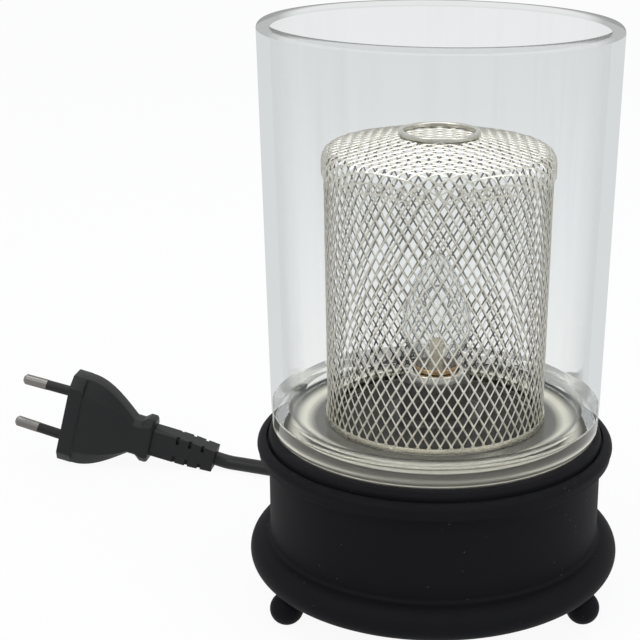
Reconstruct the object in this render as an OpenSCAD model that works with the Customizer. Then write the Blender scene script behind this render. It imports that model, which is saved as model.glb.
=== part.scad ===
// Electric wax melt warmer: a glass jar for wax chips stands on a turned black base.
// A wire mesh basket in the jar keeps the chips away from a small screw-in bulb.
// Millimetres, +Z up, origin on the table under the middle of the base, -Y towards the viewer.

/* [Feet] */
// Diameter of a ball foot
foot_ball_d = 10.4; // [8:0.2:13]
// Height of the base's underside above the table
foot_h = 9.5; // [7.5:0.5:12]
// Distance of a foot's middle in from the bead's edge
foot_inset = 5.8; // [5:0.2:6.6]
// Turn of the three feet about the middle
foot_turn = 2; // [-20:1:10]
// Diameter of a foot's stud
stud_d = 4; // [3:0.5:5]
// Length of the stud inside the base
stud_grip = 7; // [4:0.5:8]

/* [Base] */
// Diameter of the plain waist
waist_d = 104; // [98:0.5:110]
// How far the lower bead stands out from the waist
bead_out = 6.4; // [5.6:0.1:7.2]
// Height of the lower bead
bead_h = 10.6; // [10.6:0.2:13]
// Height from the top of the bead to the cove
waist_h = 24.6; // [22:0.1:34]
// How far the lip stands out from the waist
lip_out = 3.6; // [3.4:0.1:5]
// Height of the lip
lip_h = 4.6; // [4.2:0.2:6]
// Wall of the shell at the waist
shell_wall = 3; // [2:0.5:5]
// Thickness of the heavy lower ring under the waist
ring_t = 5.2; // [4.7:0.1:6.7]
// Width of the ledge that carries the seat plate
ledge_w = 6.6; // [4:0.2:9]
// Depth of the seat plate in the lip
recess_h = 1.4; // [0.8:0.2:2.4]
// Width of the shadow groove round the seat plate
groove_w = 0.8; // [0.5:0.1:1]
// Thickness of the bottom cover
cover_t = 2; // [1.5:0.1:2]

/* [Seat] */
// Thickness of the seat plate
plate_t = 3.6; // [3:0.2:7]
// Diameter of the cup that carries the lampholder
cup_d = 61.6; // [58:0.2:62]
// Height of the cup above the seat plate
cup_h = 3.4; // [2.6:0.2:3.8]
// Wall of the cup
cup_wall = 2; // [1.5:0.25:3]
// Width of the cup's flange
cup_flange_w = 2.4; // [1.6:0.2:2.6]

/* [Glass] */
// How far the heel stands in from the seat plate's edge
heel_inset = 1.1; // [0.5:0.1:3]
// How far the rim stands out from the heel
glass_flare = 2.4; // [0:0.1:5]
// Height of the glass
glass_h = 125.8; // [100:0.2:150]
// Thickness of the wall
glass_wall = 3.9; // [3:0.1:6]
// Thickness of the floor
glass_floor = 4; // [3:0.5:5]
// Outside radius of the heel
heel_r = 3.5; // [1:0.5:3.5]
// Inside radius between wall and floor
corner_r = 8; // [2:0.5:9]

/* [Basket] */
// Diameter at the foot of the basket
basket_foot_d = 67.4; // [66.6:0.2:69.2]
// Diameter of the top cap's skirt
basket_cap_d = 70.6; // [70:0.2:73]
// Height from the glass floor to the shoulder
basket_h = 81; // [72:0.2:86]
// Rise of the dome from the shoulder to the vent ring
dome_rise = 7.4; // [6.6:0.2:12]
// Radius of the shoulder
shoulder_r = 4.2; // [3:0.2:5]
// Height of the skirt over the side
skirt_h = 5.4; // [3:0.2:8]
// Thickness of the expanded sheet
sheet_t = 0.6; // [0.4:0.1:0.8]
// Width of a strand
strand_w = 1.2; // [0.8:0.1:1.6]
// Columns of openings round the side
mesh_cols = 28; // [20:1:32]
// Height of an opening over its width
mesh_ratio = 1.58; // [1.3:0.02:1.9]
// Width of an opening's pitch on the dome
dome_pitch = 6; // [5:0.2:9]
// Height of the bottom hoop
hoop_h = 1.4; // [1:0.1:2.4]
// Outside diameter of the vent ring
vent_od = 24.6; // [22:0.2:28]
// Inside diameter of the vent ring
vent_id = 21.4; // [18:0.2:21.6]
// Height of the vent ring
vent_h = 1.6; // [1.6:0.2:4.6]

/* [Bulb] */
// Widest diameter of the bulb
bulb_d = 22; // [18:0.5:28]
// Height of the bulb's tip above its cap
bulb_h = 36; // [28:0.5:40]
// Height of the widest place above the cap
belly_h = 11.4; // [9:0.2:14]
// Thickness of the bulb's glass
bulb_wall = 0.6; // [0.4:0.1:0.9]
// Diameter of the screw cap
cap_d = 13.8; // [13:0.1:14]
// Height of the screw cap
cap_h = 20; // [17:0.5:24]
// Height of the cap that shows above the lampholder
cap_show = 4.3; // [3:0.1:7]
// Height of the insulator and the tip contact under the cap
cap_tip_h = 3.8; // [3:0.2:5]
// Diameter of the lead wires and the filament
lead_d = 0.7; // [0.5:0.1:1]

/* [Lampholder] */
// Diameter of the lampholder's body
holder_d = 23.6; // [22:0.2:26]
// Diameter of the shoulder that rests on the cup
holder_flange_d = 30; // [27:0.5:36]
// Height of the lampholder above the cup
holder_rise = 12.9; // [8:0.1:15]
// Depth of the lampholder's body under the cup
holder_drop = 20; // [19:0.5:22]
// Height of the lampholder's lower cap
holder_cap_h = 10; // [9:0.5:11]
// Wall of the threaded metal shell
thread_wall = 1; // [0.6:0.1:1.2]
// Diameter of the centre contact
contact_d = 6; // [4:0.5:8]

/* [Rod] */
// Diameter of the threaded tube that clamps the base together
rod_d = 10; // [8:0.5:10]
// Bore of the threaded tube
rod_bore = 6.4; // [4:0.2:7]
// Height of the rod's nut
nut_h = 3.4; // [2.4:0.2:4]
// Width of the nut across its flats
nut_flats = 14; // [13:0.5:17]
// Thickness of the washer
washer_t = 1.2; // [0.8:0.2:1.6]

/* [Cord] */
// Diameter of the cord
cord_d = 5.4; // [5:0.1:5.6]
// Direction of the cord's exit, from +X
gland_turn = 108; // [104:1:112]
// Length of the strain relief outside the base
boot_l = 23.5; // [20:0.5:25]
// Widest diameter of the strain relief
boot_d = 9.6; // [9:0.2:10]
// Diameter at the strain relief's tip
boot_tip_d = 7.4; // [7:0.2:8]
// Diameter of a single wire
wire_d = 2.2; // [1.6:0.1:2.4]
// Middle diameter of the coil's turns
coil_mid_d = 64; // [60:0.5:66]
// Free space between neighbouring turns
coil_gap = 0.5; // [0.45:0.05:0.7]
// Thickness of the coil's tie
tie_t = 0.8; // [0.6:0.1:1]
// Width of the coil's tie
tie_w = 9; // [6:0.5:14]

/* [Plug] */
// Width of the plug
plug_w = 35.2; // [34.4:0.1:36]
// Thickness of the plug
plug_t = 13.6; // [13:0.1:14.4]
// Length of the plug's body
plug_l = 33.6; // [32:0.2:35]
// Length of the straight part behind the plug's face
plug_face_l = 5.7; // [4:0.1:7]
// Width of the collar
collar_w = 17.8; // [15:0.2:19]
// Width of the neck before the collar
neck_w = 14.2; // [13:0.2:15]
// Length of the plug's strain relief
relief_l = 24.6; // [20:0.2:28]
// Width of the strain relief at the collar
relief_w = 12.2; // [10:0.2:13]
// Width of the strain relief at the cord
relief_tip_w = 8.4; // [7.4:0.2:9]
// Diameter of a pin
pin_d = 4; // [3.9:0.1:4]
// Length of a pin outside the plug
pin_l = 19; // [18:0.5:19.5]
// Spacing of the pins at the plug
pin_pitch = 18.6; // [18:0.1:19.2]
// Length of a pin's insulating sleeve
sleeve_l = 10; // [9:0.5:11]

/* [Clearances] */
// Gap round pieces that lift off
lift_gap = 1; // [0.6:0.1:1.4]
// Gap round fixed pieces that slip together
slip_gap = 0.15; // [0.05:0.05:0.2]

/* [Hidden] */
$fn = 96;
tiny = 0.05;

// Heights, from the table upwards
bead_top = foot_h + bead_h;
lip_step = 0.5;
cove_r = lip_out - lip_step;
cove_z = bead_top + waist_h;
lip_z = cove_z + cove_r;
shell_top = lip_z + lip_h;
ledge_z = shell_top - recess_h;
seat_z = ledge_z + plate_t;
cup_top = seat_z + cup_h;
floor_z = seat_z + glass_floor;
rim_z = seat_z + glass_h;
shoulder_z = floor_z + basket_h;
dome_z = shoulder_z + dome_rise;

// Base
bead_d = waist_d + 2 * bead_out;
bead_r = bead_h / 2;
bead_in = bead_d / 2 - bead_r;
bead_wrap = 76;
step_h = 1.4;
fillet_r = 1.4;
lip_d = waist_d + 2 * lip_out;
lip_round = 2.2;
lip_foot = 0.6;
lip_land = 0.6;
plate_r = lip_d / 2 - lip_round - groove_w - lip_land;
plate_round = 1.5;
recess_r = plate_r + groove_w;
ledge_in_r = plate_r - ledge_w;
shell_in_r = waist_d / 2 - shell_wall;
ring_in_r = waist_d / 2 - ring_t;
cover_rest = 2.5;
cover_r = ring_in_r + cover_rest;
foot_ring_r = bead_d / 2 - foot_inset;
foot_angles = [210, 330, 90];
foot_neck_d = 6;
foot_flat = 0.5;

// Seat and lampholder
cup_r = cup_d / 2;
cup_flange_r = cup_r + cup_flange_w;
cup_flange_t = 2;
holder_r = holder_d / 2;
holder_top = cup_top + holder_rise;
holder_low = cup_top - holder_drop;
holder_base = holder_low - holder_cap_h;
holder_flange_t = 2.2;
thread_in_r = cap_d / 2 + 0.4;
thread_out_r = thread_in_r + thread_wall;
thread_lip = 0.3;
thread_lip_t = 2.6;
block_z = holder_low - 2;
contact_r = contact_d / 2;
contact_stem_d = 3;
rod_seat_z = block_z - 2;
wire_ring_r = rod_d / 2 + 2.2;

// Bulb
cap_r = cap_d / 2;
cap_wall = 0.4;
cap_top = holder_top + cap_show;
cap_low = cap_top - cap_h;
tip_z = cap_low - cap_tip_h;
neck_r = cap_r - cap_wall - slip_gap;
neck_low = cap_top - 9.5;
belly_z = cap_top + belly_h;
bulb_top = cap_top + bulb_h;
stem_r = 2.1;
stem_top = belly_z - 3;
lead_rise = 11;
lead_top = belly_z + lead_rise;
lead_spread = 4.2;
shell_top_z = tip_z - 4.8;

// Basket
side_foot_r = basket_foot_d / 2;
hoop_wall = 0.4;
hoop_reach = 1.3;
hoop_lip = 0.9;
hoop_out_r = side_foot_r + hoop_wall;
hoop_in_r = side_foot_r - hoop_reach;
cap_out_r = basket_cap_d / 2;
side_top_r = cap_out_r - sheet_t - slip_gap;
side_top_z = shoulder_z - 1;
mesh_low = floor_z + hoop_h;
skirt_z = shoulder_z - skirt_h;
cell_w = PI * (side_foot_r + side_top_r) / mesh_cols;
cell_h = cell_w * mesh_ratio;
mesh_rows = floor(2 * (side_top_z - mesh_low - 0.6) / cell_h) - 1;
dome_cell_h = dome_pitch * mesh_ratio;
dome_reach = ceil(cap_out_r / dome_pitch);
vent_r = vent_od / 2;
eye_r = vent_id / 2;

// Cord: the exit through the bead, the coil behind the base and the route on the table
cord_r = cord_d / 2;
cord_bore_r = cord_r + tiny;
gland_z = foot_h + bead_r;
gland_dir = [cos(gland_turn), sin(gland_turn), 0];
gland_out = bead_d / 2 - 1.8;
gland_r = 3.3;
boot_tip = gland_out + boot_l;
lead_start = gland_dir * boot_tip + [0, 0, gland_z];
clamp_inset = 9;
clamp_at = ring_in_r - clamp_inset;
clamp_l = 8;
clamp_w = 17;
clamp_screw_d = 3;
clamp_screw_x = clamp_w / 2 - 2.9;
cord_end = clamp_at - clamp_l / 2 - 3;
cover_top = foot_h + cover_t;
clamp_top = gland_z + cord_r + 2;

coil_shift = [12, 55.6];
coil_pos = [coil_shift.x, bead_d / 2 + coil_shift.y];
coil_pitch = cord_d + coil_gap;
coil_layer_turns = 3.125;
coil_climb = 0.5;
coil_turns = 2 * coil_layer_turns + coil_climb;
coil_out_r = coil_mid_d / 2 + coil_pitch * coil_layer_turns / 2;
coil_in_r = coil_out_r - coil_pitch * coil_layer_turns;
coil_low_z = tie_t + 0.3 + cord_r;
coil_high_z = coil_low_z + coil_pitch;
coil_start_turn = 180;
coil_rings = 24;
tie_turn = 45;

function coil_radius(t) =
    t < coil_layer_turns ? coil_out_r - coil_pitch * t
    : t < coil_layer_turns + coil_climb ? coil_in_r
    : coil_in_r + coil_pitch * (t - coil_layer_turns - coil_climb);
function coil_height(t) =
    t < coil_layer_turns ? coil_high_z
    : t > coil_layer_turns + coil_climb ? coil_low_z
    : coil_high_z - coil_pitch * (1 - cos(180 * (t - coil_layer_turns) / coil_climb)) / 2;
function coil_point(t) =
    let (a = coil_start_turn - 360 * t)
    [coil_pos.x + coil_radius(t) * cos(a), coil_pos.y + coil_radius(t) * sin(a), coil_height(t)];
coil_steps = coil_rings * coil_turns;
coil_begin = coil_point(0) - [0, cord_d, 0];
coil_finish = coil_point(coil_turns) - [cord_d, 0, 0];
coil_path = concat(
    [coil_begin],
    [for (i = [0 : coil_steps]) coil_point(i / coil_rings)],
    [coil_finish]
);
// Smallest distance between the skins of turns that pass each other
coil_skin_gap = min([
    for (i = [0 : coil_steps - coil_rings * 0.6], j = [i + coil_rings * 0.6 : coil_steps])
        norm(coil_point(i / coil_rings) - coil_point(j / coil_rings)) - cord_d
]);

// Steps of the cord, each from where its stretch begins
lead_steps = [[-2.9, 10.4, -0.9], [-3.9, 15.4, -2.7], [-4.4, 20.9, -4.4]];
lead_route = [for (p = lead_steps) lead_start + p];
tail_steps = [
    [-12.6, 0.02, -0.3], [-21.6, 0.2, -0.7], [-30.6, 0.6, -1], [-39.6, 1.4, -1], [-48.6, 2.6, -1],
    [-57.6, 4.4, -1], [-65.6, 6.6, -1], [-72.6, 9, -1], [-78.1, 10.9, -1],
];
tail_route = [for (p = tail_steps) coil_finish + p];
plug_end = coil_finish + [-89.5, 13.4, 0.5];
plug_tilt = 14.6;
plug_yaw = 6;
plug_dir = [-cos(plug_tilt) * cos(plug_yaw), cos(plug_tilt) * sin(plug_yaw), sin(plug_tilt)];

// Wires inside the base: out from the middle and up, seen along the cord's direction
wire_side = wire_d / 2 + 0.2;
wire_bend = 5.4;
wire_run = cord_end - wire_ring_r - wire_bend;
wire_route = [
    [cord_end, gland_z],
    [cord_end - wire_run * 0.2, gland_z],
    [cord_end - wire_run * 0.5, gland_z + wire_bend * 0.25],
    [cord_end - wire_run * 0.8, gland_z + wire_bend * 0.7],
    [wire_ring_r + wire_bend * 0.9, holder_base - wire_bend],
    [wire_ring_r + wire_bend * 0.25, holder_base - wire_bend * 0.55],
    [wire_ring_r, holder_base],
    [wire_ring_r, block_z],
];
function wire_path(side) = [
    for (p = wire_route)
        gland_dir * p.x + [-gland_dir.y, gland_dir.x, 0] * (side * wire_side) + [0, 0, p.y]
];

// Plug
collar_l = 4;
plug_thin = 10.6;
pin_core_d = 3;
pin_core_l = 9;
pin_toe = 1.5;
relief_t = 7.6;
relief_slots = 3;

black = [0.1, 0.1, 0.11];
plug_grey = [0.13, 0.13, 0.14];
nickel = [0.78, 0.76, 0.7];
steel = [0.7, 0.71, 0.73];
brass = [0.78, 0.58, 0.3];

// Points of an arc about a centre, from one angle to another
function arc(centre, r, from, to, steps = 8) =
    [for (i = [0 : steps]) let (a = from + (to - from) * i / steps) centre + r * [cos(a), sin(a)]];

// Rings of a tube along a path; side_ref is never along the path
function tube_ring(path, i, r, sides, side_ref) =
    let (
        before = path[max(i - 1, 0)],
        after = path[min(i + 1, len(path) - 1)],
        along = (after - before) / norm(after - before),
        across = cross(along, side_ref) / norm(cross(along, side_ref)),
        up = cross(across, along)
    )
    [for (k = [0 : sides - 1])
        let (a = 360 * (k + 0.5) / sides)
        path[i] + r * (across * cos(a) + up * sin(a))];

module tube(path, r, sides = 8, side_ref = [0, 0, 1]) {
    rings = len(path);
    points = [for (i = [0 : rings - 1]) each tube_ring(path, i, r, sides, side_ref)];
    walls = [
        for (i = [0 : rings - 2], k = [0 : sides - 1])
            let (a = i * sides + k, b = i * sides + (k + 1) % sides)
            each [[a, a + sides, b], [b, a + sides, b + sides]]
    ];
    first = [for (k = [1 : sides - 2]) [0, k, k + 1]];
    end = (rings - 1) * sides;
    last = [for (k = [1 : sides - 2]) [end, end + k + 1, end + k]];
    polyhedron(points, concat(walls, first, last));
}

module disc_tube(out_r, in_r, low, high) {
    translate([0, 0, low]) difference() {
        cylinder(h = high - low, r = out_r);
        translate([0, 0, -1]) cylinder(h = high - low + 2, r = in_r);
    }
}

module at_foot(i) {
    rotate([0, 0, foot_angles[i] + foot_turn]) translate([foot_ring_r, 0, 0]) children();
}

// Puts a shape drawn along +Z on the cord's exit line, with z as the distance from the middle
module on_gland_line() {
    translate([0, 0, gland_z]) rotate([0, 90, gland_turn]) children();
}

module diamond(w, h) {
    polygon([[w / 2, 0], [0, h / 2], [-w / 2, 0], [0, -h / 2]]);
}

// Base

module base_shell() {
    bore_r = gland_r + slip_gap / 2;
    spot_r = boot_d / 2 + 2 * slip_gap;
    outside = concat(
        [[bead_in, foot_h]],
        arc([bead_in, foot_h + bead_r], bead_r, -90, bead_wrap, 16),
        arc([waist_d / 2 + fillet_r, bead_top + step_h], fillet_r, 270, 180, 6),
        arc([waist_d / 2 + cove_r, cove_z], cove_r, 180, 90, 8),
        [[lip_d / 2 - lip_step, lip_z + lip_foot]],
        arc([lip_d / 2 - lip_round, shell_top - lip_round], lip_round, 0, 90, 8)
    );
    inside = [
        [recess_r, shell_top], [recess_r, ledge_z], [ledge_in_r, ledge_z], [ledge_in_r, lip_z],
        [shell_in_r, lip_z - (shell_in_r - ledge_in_r)], [shell_in_r, bead_top + 2],
        [ring_in_r, bead_top], [ring_in_r, cover_top],
        [cover_r + slip_gap, cover_top], [cover_r + slip_gap, foot_h],
    ];
    color(black) difference() {
        rotate_extrude() polygon(concat(outside, inside));
        for (i = [0 : 2])
            at_foot(i) translate([0, 0, foot_h - 1]) cylinder(h = stud_grip + 1.2, d = stud_d + 2 * tiny);
        on_gland_line() rotate_extrude() polygon([
            [0, ring_in_r - boot_d], [bore_r, ring_in_r - boot_d], [bore_r, gland_out],
            [spot_r, gland_out], [spot_r, gland_out + boot_d], [0, gland_out + boot_d],
        ]);
    }
}

module seat_plate() {
    well = cup_flange_r + slip_gap;
    color(black) rotate_extrude() polygon(concat(
        [[cup_r - cup_wall, ledge_z], [plate_r, ledge_z]],
        arc([plate_r - plate_round, seat_z - plate_round], plate_round, 0, 90, 6),
        [[well, seat_z], [well, seat_z - cup_flange_t], [cup_r - cup_wall, seat_z - cup_flange_t]]
    ));
}

module lamp_cup() {
    edge = 0.8;
    hole_r = holder_r + slip_gap;
    color(black) rotate_extrude() polygon(concat(
        [[cup_r - cup_wall, seat_z - cup_flange_t], [cup_flange_r, seat_z - cup_flange_t]],
        [[cup_flange_r, seat_z], [cup_r, seat_z]],
        arc([cup_r - edge, cup_top - edge], edge, 0, 90, 4),
        [[hole_r, cup_top], [hole_r, cup_top - cup_wall], [cup_r - cup_wall, cup_top - cup_wall]]
    ));
}

module bottom_cover() {
    color(black) difference() {
        disc_tube(cover_r, rod_d / 2 + slip_gap, foot_h, cover_top);
        at_clamp_screws() translate([0, 0, foot_h - 1])
            cylinder(h = cover_t + 2, d = clamp_screw_d + 2 * tiny);
    }
}

module ball_foot(i) {
    color(black) at_foot(i) difference() {
        union() {
            translate([0, 0, foot_ball_d / 2 - foot_flat]) sphere(d = foot_ball_d);
            translate([0, 0, foot_h - 2.5]) cylinder(h = 2.5, d = foot_neck_d);
        }
        translate([0, 0, -foot_ball_d]) cube(2 * foot_ball_d, center = true);
        translate([0, 0, foot_h]) cylinder(h = foot_ball_d, d = foot_ball_d);
        translate([0, 0, foot_h / 3]) cylinder(h = foot_h, d = stud_d + 2 * tiny);
    }
}

module foot_left() { ball_foot(0); }
module foot_right() { ball_foot(1); }
module foot_rear() { ball_foot(2); }

module foot_studs() {
    color(steel) for (i = [0 : 2])
        at_foot(i) translate([0, 0, foot_h / 3]) cylinder(h = foot_h * 2 / 3 + stud_grip, d = stud_d);
}

module clamp_rod() {
    color(steel) disc_tube(rod_d / 2, rod_bore / 2, foot_h - washer_t - nut_h - 0.8, rod_seat_z);
}

module rod_washer() {
    color(steel) disc_tube(rod_d / 2 + 4.5, rod_d / 2 + slip_gap, foot_h - washer_t, foot_h);
}

module rod_nut() {
    color(steel) translate([0, 0, foot_h - washer_t - nut_h]) difference() {
        cylinder(h = nut_h, d = nut_flats / cos(30), $fn = 6);
        translate([0, 0, -1]) cylinder(h = nut_h + 2, d = rod_d + 2 * tiny);
    }
}

// Lampholder

module holder_body() {
    bore_r = thread_out_r + slip_gap;
    flange_r = holder_flange_d / 2;
    collar_r = thread_out_r + 2.4;
    color(black) rotate_extrude() polygon(concat(
        [[bore_r, holder_low], [holder_r, holder_low], [holder_r, cup_top], [flange_r, cup_top]],
        arc([flange_r - 1, cup_top + holder_flange_t - 1], 1, 0, 90, 4),
        [[collar_r + 0.8, cup_top + holder_flange_t], [collar_r, holder_top], [bore_r, holder_top]]
    ));
}

module holder_cap() {
    well_r = thread_out_r + slip_gap;
    color(black) difference() {
        rotate_extrude() polygon(concat(
            [[0, holder_base], [holder_r - 2, holder_base]],
            arc([holder_r - 2, holder_base + 2], 2, -90, 0, 5),
            [[holder_r, holder_low], [well_r, holder_low], [well_r, block_z], [0, block_z]]
        ));
        translate([0, 0, holder_base - 1]) cylinder(h = rod_seat_z - holder_base + 1, d = rod_d + 2 * tiny);
        for (side = [-1, 1])
            translate(gland_dir * wire_ring_r + [-gland_dir.y, gland_dir.x, 0] * (side * wire_side))
                translate([0, 0, holder_base - 1])
                    cylinder(h = holder_cap_h + 2, d = wire_d + 2 * tiny);
    }
}

module thread_shell() {
    color(nickel) {
        disc_tube(thread_out_r, thread_in_r, shell_top_z, holder_top);
        disc_tube(thread_out_r + thread_lip, thread_in_r, holder_top, holder_top + thread_lip_t);
    }
}

module contact_block() {
    color([0.85, 0.83, 0.78]) disc_tube(thread_out_r, contact_stem_d / 2 + tiny, block_z, shell_top_z);
}

module centre_contact() {
    color(brass) {
        translate([0, 0, block_z + 2]) cylinder(h = shell_top_z - block_z - 2, d = contact_stem_d);
        translate([0, 0, shell_top_z]) cylinder(h = tip_z - shell_top_z, r = contact_r);
    }
}

// Bulb

module bulb_cap() {
    rim = 0.5;
    color(brass) rotate_extrude() polygon([
        [cap_r - 2.2, cap_low], [cap_r - 0.6, cap_low], [cap_r, cap_low + 0.8],
        [cap_r, cap_top - 2], [cap_r + 0.25, cap_top - rim], [cap_r, cap_top],
        [cap_r - cap_wall, cap_top], [cap_r - cap_wall, cap_low + 1.2], [cap_r - 2.2, cap_low + 1.2],
    ]);
}

module bulb_insulator() {
    foot_z = tip_z + 1.2;
    color([0.12, 0.12, 0.13]) rotate_extrude() polygon([
        [0, foot_z], [2.6, foot_z], [cap_r - 1.4, cap_low],
        [cap_r - 2.4, cap_low], [cap_r - 2.4, cap_low + 1], [0, cap_low + 1],
    ]);
}

module bulb_contact() {
    color(steel) rotate_extrude() polygon([
        [0, tip_z], [1.6, tip_z], [2.2, tip_z + 0.6], [2.2, tip_z + 1.2], [0, tip_z + 1.2],
    ]);
}

// Half profile of the bulb's skin, drawn in by a wall
function bulb_skin(wall) =
    let (
        neck = neck_r - wall,
        belly = bulb_d / 2 - wall,
        rise = bulb_h - belly_h - wall
    )
    concat(
        [[neck, neck_low]],
        [for (i = [0 : 8]) let (v = i / 8)
            [neck + (belly - neck) * (1 - cos(180 * v)) / 2, cap_top + belly_h * v]],
        [for (i = [1 : 13]) let (u = sin(90 * i / 14))
            [belly * pow(1 - pow(u, 1.7), 0.74), belly_z + rise * u]],
        [[0, belly_z + rise]]
    );

module bulb_glass() {
    skin = bulb_skin(0);
    lining = bulb_skin(bulb_wall);
    color([0.9, 0.93, 0.95, 0.4]) rotate_extrude()
        polygon(concat(skin, [for (i = [len(lining) - 1 : -1 : 0]) lining[i]]));
}

module bulb_stem() {
    flare = 1;
    color([0.85, 0.88, 0.9, 0.6]) rotate_extrude() polygon(concat(
        [[0, neck_low - flare], [neck_r, neck_low - flare], [neck_r, neck_low]],
        [[neck_r - bulb_wall - 0.4, neck_low], [stem_r, neck_low + 5], [stem_r, stem_top - stem_r]],
        arc([0, stem_top - stem_r], stem_r, 0, 90, 6)
    ));
}

function lead_tip(side) = [side * lead_spread, 0, lead_top];
module filament_leads() {
    color(steel) for (side = [-1, 1])
        tube([[side * 0.9, 0, stem_top], [side * 1.4, 0, stem_top + 2.5], lead_tip(side)],
            lead_d / 2, 8, [0, 1, 0]);
}

module filament() {
    sag = 3;
    half = lead_spread - lead_d;
    low = lead_top - lead_d / 2;
    path = [for (i = [0 : 10]) let (u = i / 5 - 1) [u * half, 0, low + sag * (1 - u * u)]];
    color([0.25, 0.24, 0.24]) tube(path, lead_d / 2, 8, [0, 1, 0]);
}

// Glass jar

module glass_jar() {
    heel = plate_r - heel_inset;
    rim_r = heel + glass_flare;
    hole_r = cup_r + lift_gap;
    lip = glass_wall / 2;
    color([0.86, 0.91, 0.92, 0.35]) rotate_extrude() polygon(concat(
        [[hole_r, seat_z]],
        arc([heel - heel_r, seat_z + heel_r], heel_r, -90, 0, 8),
        arc([rim_r - lip, rim_z - lip], lip, 0, 180, 10),
        arc([heel - glass_wall - corner_r, floor_z + corner_r], corner_r, 0, -90, 8),
        [[hole_r, floor_z]]
    ));
}

// Basket

module basket_side() {
    color(nickel) difference() {
        rotate_extrude() polygon([
            [side_foot_r - sheet_t, mesh_low], [side_foot_r, mesh_low],
            [side_top_r, side_top_z], [side_top_r - sheet_t, side_top_z],
        ]);
        for (row = [1 : mesh_rows], col = [0 : mesh_cols - 1])
            rotate([0, 0, 360 / mesh_cols * (col + (row % 2) / 2)])
                translate([side_foot_r - 4, 0, mesh_low + 0.6 + row * cell_h / 2])
                    rotate([90, 0, 90])
                        linear_extrude(8) diamond(cell_w - strand_w, cell_h - strand_w * mesh_ratio);
    }
}

// Profile of the domed cap, drawn in by a sheet thickness
function cap_profile(inset) =
    let (
        r = cap_out_r - inset,
        bend = shoulder_r - inset,
        slope = 58
    )
    concat(
        [[r, skirt_z], [r, shoulder_z]],
        arc([r - bend, shoulder_z], bend, 0, slope, 6),
        [[vent_r - 0.8, dome_z - inset], [eye_r + 0.4, dome_z - inset]]
    );

module basket_top() {
    skin = cap_profile(0);
    lining = cap_profile(sheet_t);
    open_in = vent_r + dome_cell_h * 0.32;
    open_out = cap_out_r - shoulder_r - dome_cell_h * 0.28;
    color(nickel) difference() {
        rotate_extrude() polygon(concat(skin, [for (i = [len(lining) - 1 : -1 : 0]) lining[i]]));
        for (row = [-dome_reach : dome_reach], col = [-dome_reach : dome_reach]) {
            spot = [(col + (abs(row) % 2) / 2) * dome_pitch, row * dome_cell_h / 2];
            if (norm(spot) > open_in && norm(spot) < open_out)
                translate([spot.x, spot.y, skirt_z])
                    linear_extrude(dome_z - skirt_z + 5)
                        diamond(dome_pitch - strand_w, dome_cell_h - strand_w * mesh_ratio);
        }
    }
}

module basket_hoop() {
    lip_in_r = side_foot_r + tiny;
    color(nickel) rotate_extrude() polygon([
        [hoop_in_r, floor_z], [hoop_out_r, floor_z], [hoop_out_r, mesh_low + hoop_lip],
        [lip_in_r, mesh_low + hoop_lip], [lip_in_r, mesh_low], [hoop_in_r, mesh_low],
    ]);
}

module vent_ring() {
    wall = (vent_od - vent_id) / 2;
    color(nickel) rotate_extrude() polygon(concat(
        [[eye_r, dome_z]],
        [[vent_r, dome_z]],
        arc([vent_r - wall / 2, dome_z + vent_h - wall / 2], wall / 2, 0, 180, 8)
    ));
}

// Cord inside the base

module cord_gland() {
    rings = 5;
    ring_step = boot_l / (rings + 1);
    slot = 1.4;
    slot_deep = 0.8;
    color(plug_grey) on_gland_line() rotate_extrude() polygon(concat(
        [[cord_bore_r, ring_in_r], [gland_r, ring_in_r], [gland_r, gland_out], [boot_d / 2, gland_out]],
        [for (i = [1 : rings])
            let (
                z = gland_out + i * ring_step,
                r = boot_d / 2 + (boot_tip_d - boot_d) / 2 * i / (rings + 1)
            )
            each [[r, z - slot], [r - slot_deep, z - slot], [r - slot_deep, z], [r, z]]],
        [[boot_tip_d / 2, boot_tip], [cord_bore_r, boot_tip]]
    ));
}

module inner_cord() {
    color(plug_grey) on_gland_line() translate([0, 0, cord_end])
        cylinder(h = boot_tip - cord_end, r = cord_r);
}

module at_clamp_screws() {
    for (side = [-1, 1])
        rotate([0, 0, gland_turn]) translate([clamp_at, side * clamp_screw_x, 0]) children();
}

module cord_clamp() {
    color(plug_grey) difference() {
        rotate([0, 0, gland_turn]) translate([clamp_at, 0, (cover_top + clamp_top) / 2])
            cube([clamp_l, clamp_w, clamp_top - cover_top], center = true);
        on_gland_line() translate([0, 0, clamp_at - clamp_l]) cylinder(h = 2 * clamp_l, r = cord_bore_r);
        at_clamp_screws() translate([0, 0, foot_h]) cylinder(h = clamp_top, d = clamp_screw_d + 2 * tiny);
    }
}

module clamp_screws() {
    head_d = 5;
    head_h = 1.8;
    color(steel) at_clamp_screws() {
        translate([0, 0, foot_h]) cylinder(h = clamp_top - foot_h, d = clamp_screw_d);
        translate([0, 0, clamp_top]) cylinder(h = head_h, d = head_d);
    }
}

module live_wire() {
    color([0.45, 0.28, 0.16]) tube(wire_path(1), wire_d / 2, 8, [-gland_dir.y, gland_dir.x, 0]);
}

module neutral_wire() {
    color([0.2, 0.35, 0.7]) tube(wire_path(-1), wire_d / 2, 8, [-gland_dir.y, gland_dir.x, 0]);
}

// Cord on the table

module cord_lead() {
    into_coil = [coil_begin - [0, cord_d, 0], coil_begin];
    path = concat([lead_start, lead_start + gland_dir * cord_d], lead_route, into_coil);
    color(plug_grey) tube(path, cord_r, 10);
}

module cord_coil() {
    echo(coil_skin_gap = coil_skin_gap);
    color(plug_grey) tube(coil_path, cord_r, 6);
}

module cord_tail() {
    from_coil = [coil_finish, coil_finish - [cord_d, 0, 0]];
    into_plug = [plug_end - plug_dir * cord_d, plug_end];
    color(plug_grey) tube(concat(from_coil, tail_route, into_plug), cord_r, 10);
}

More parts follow.
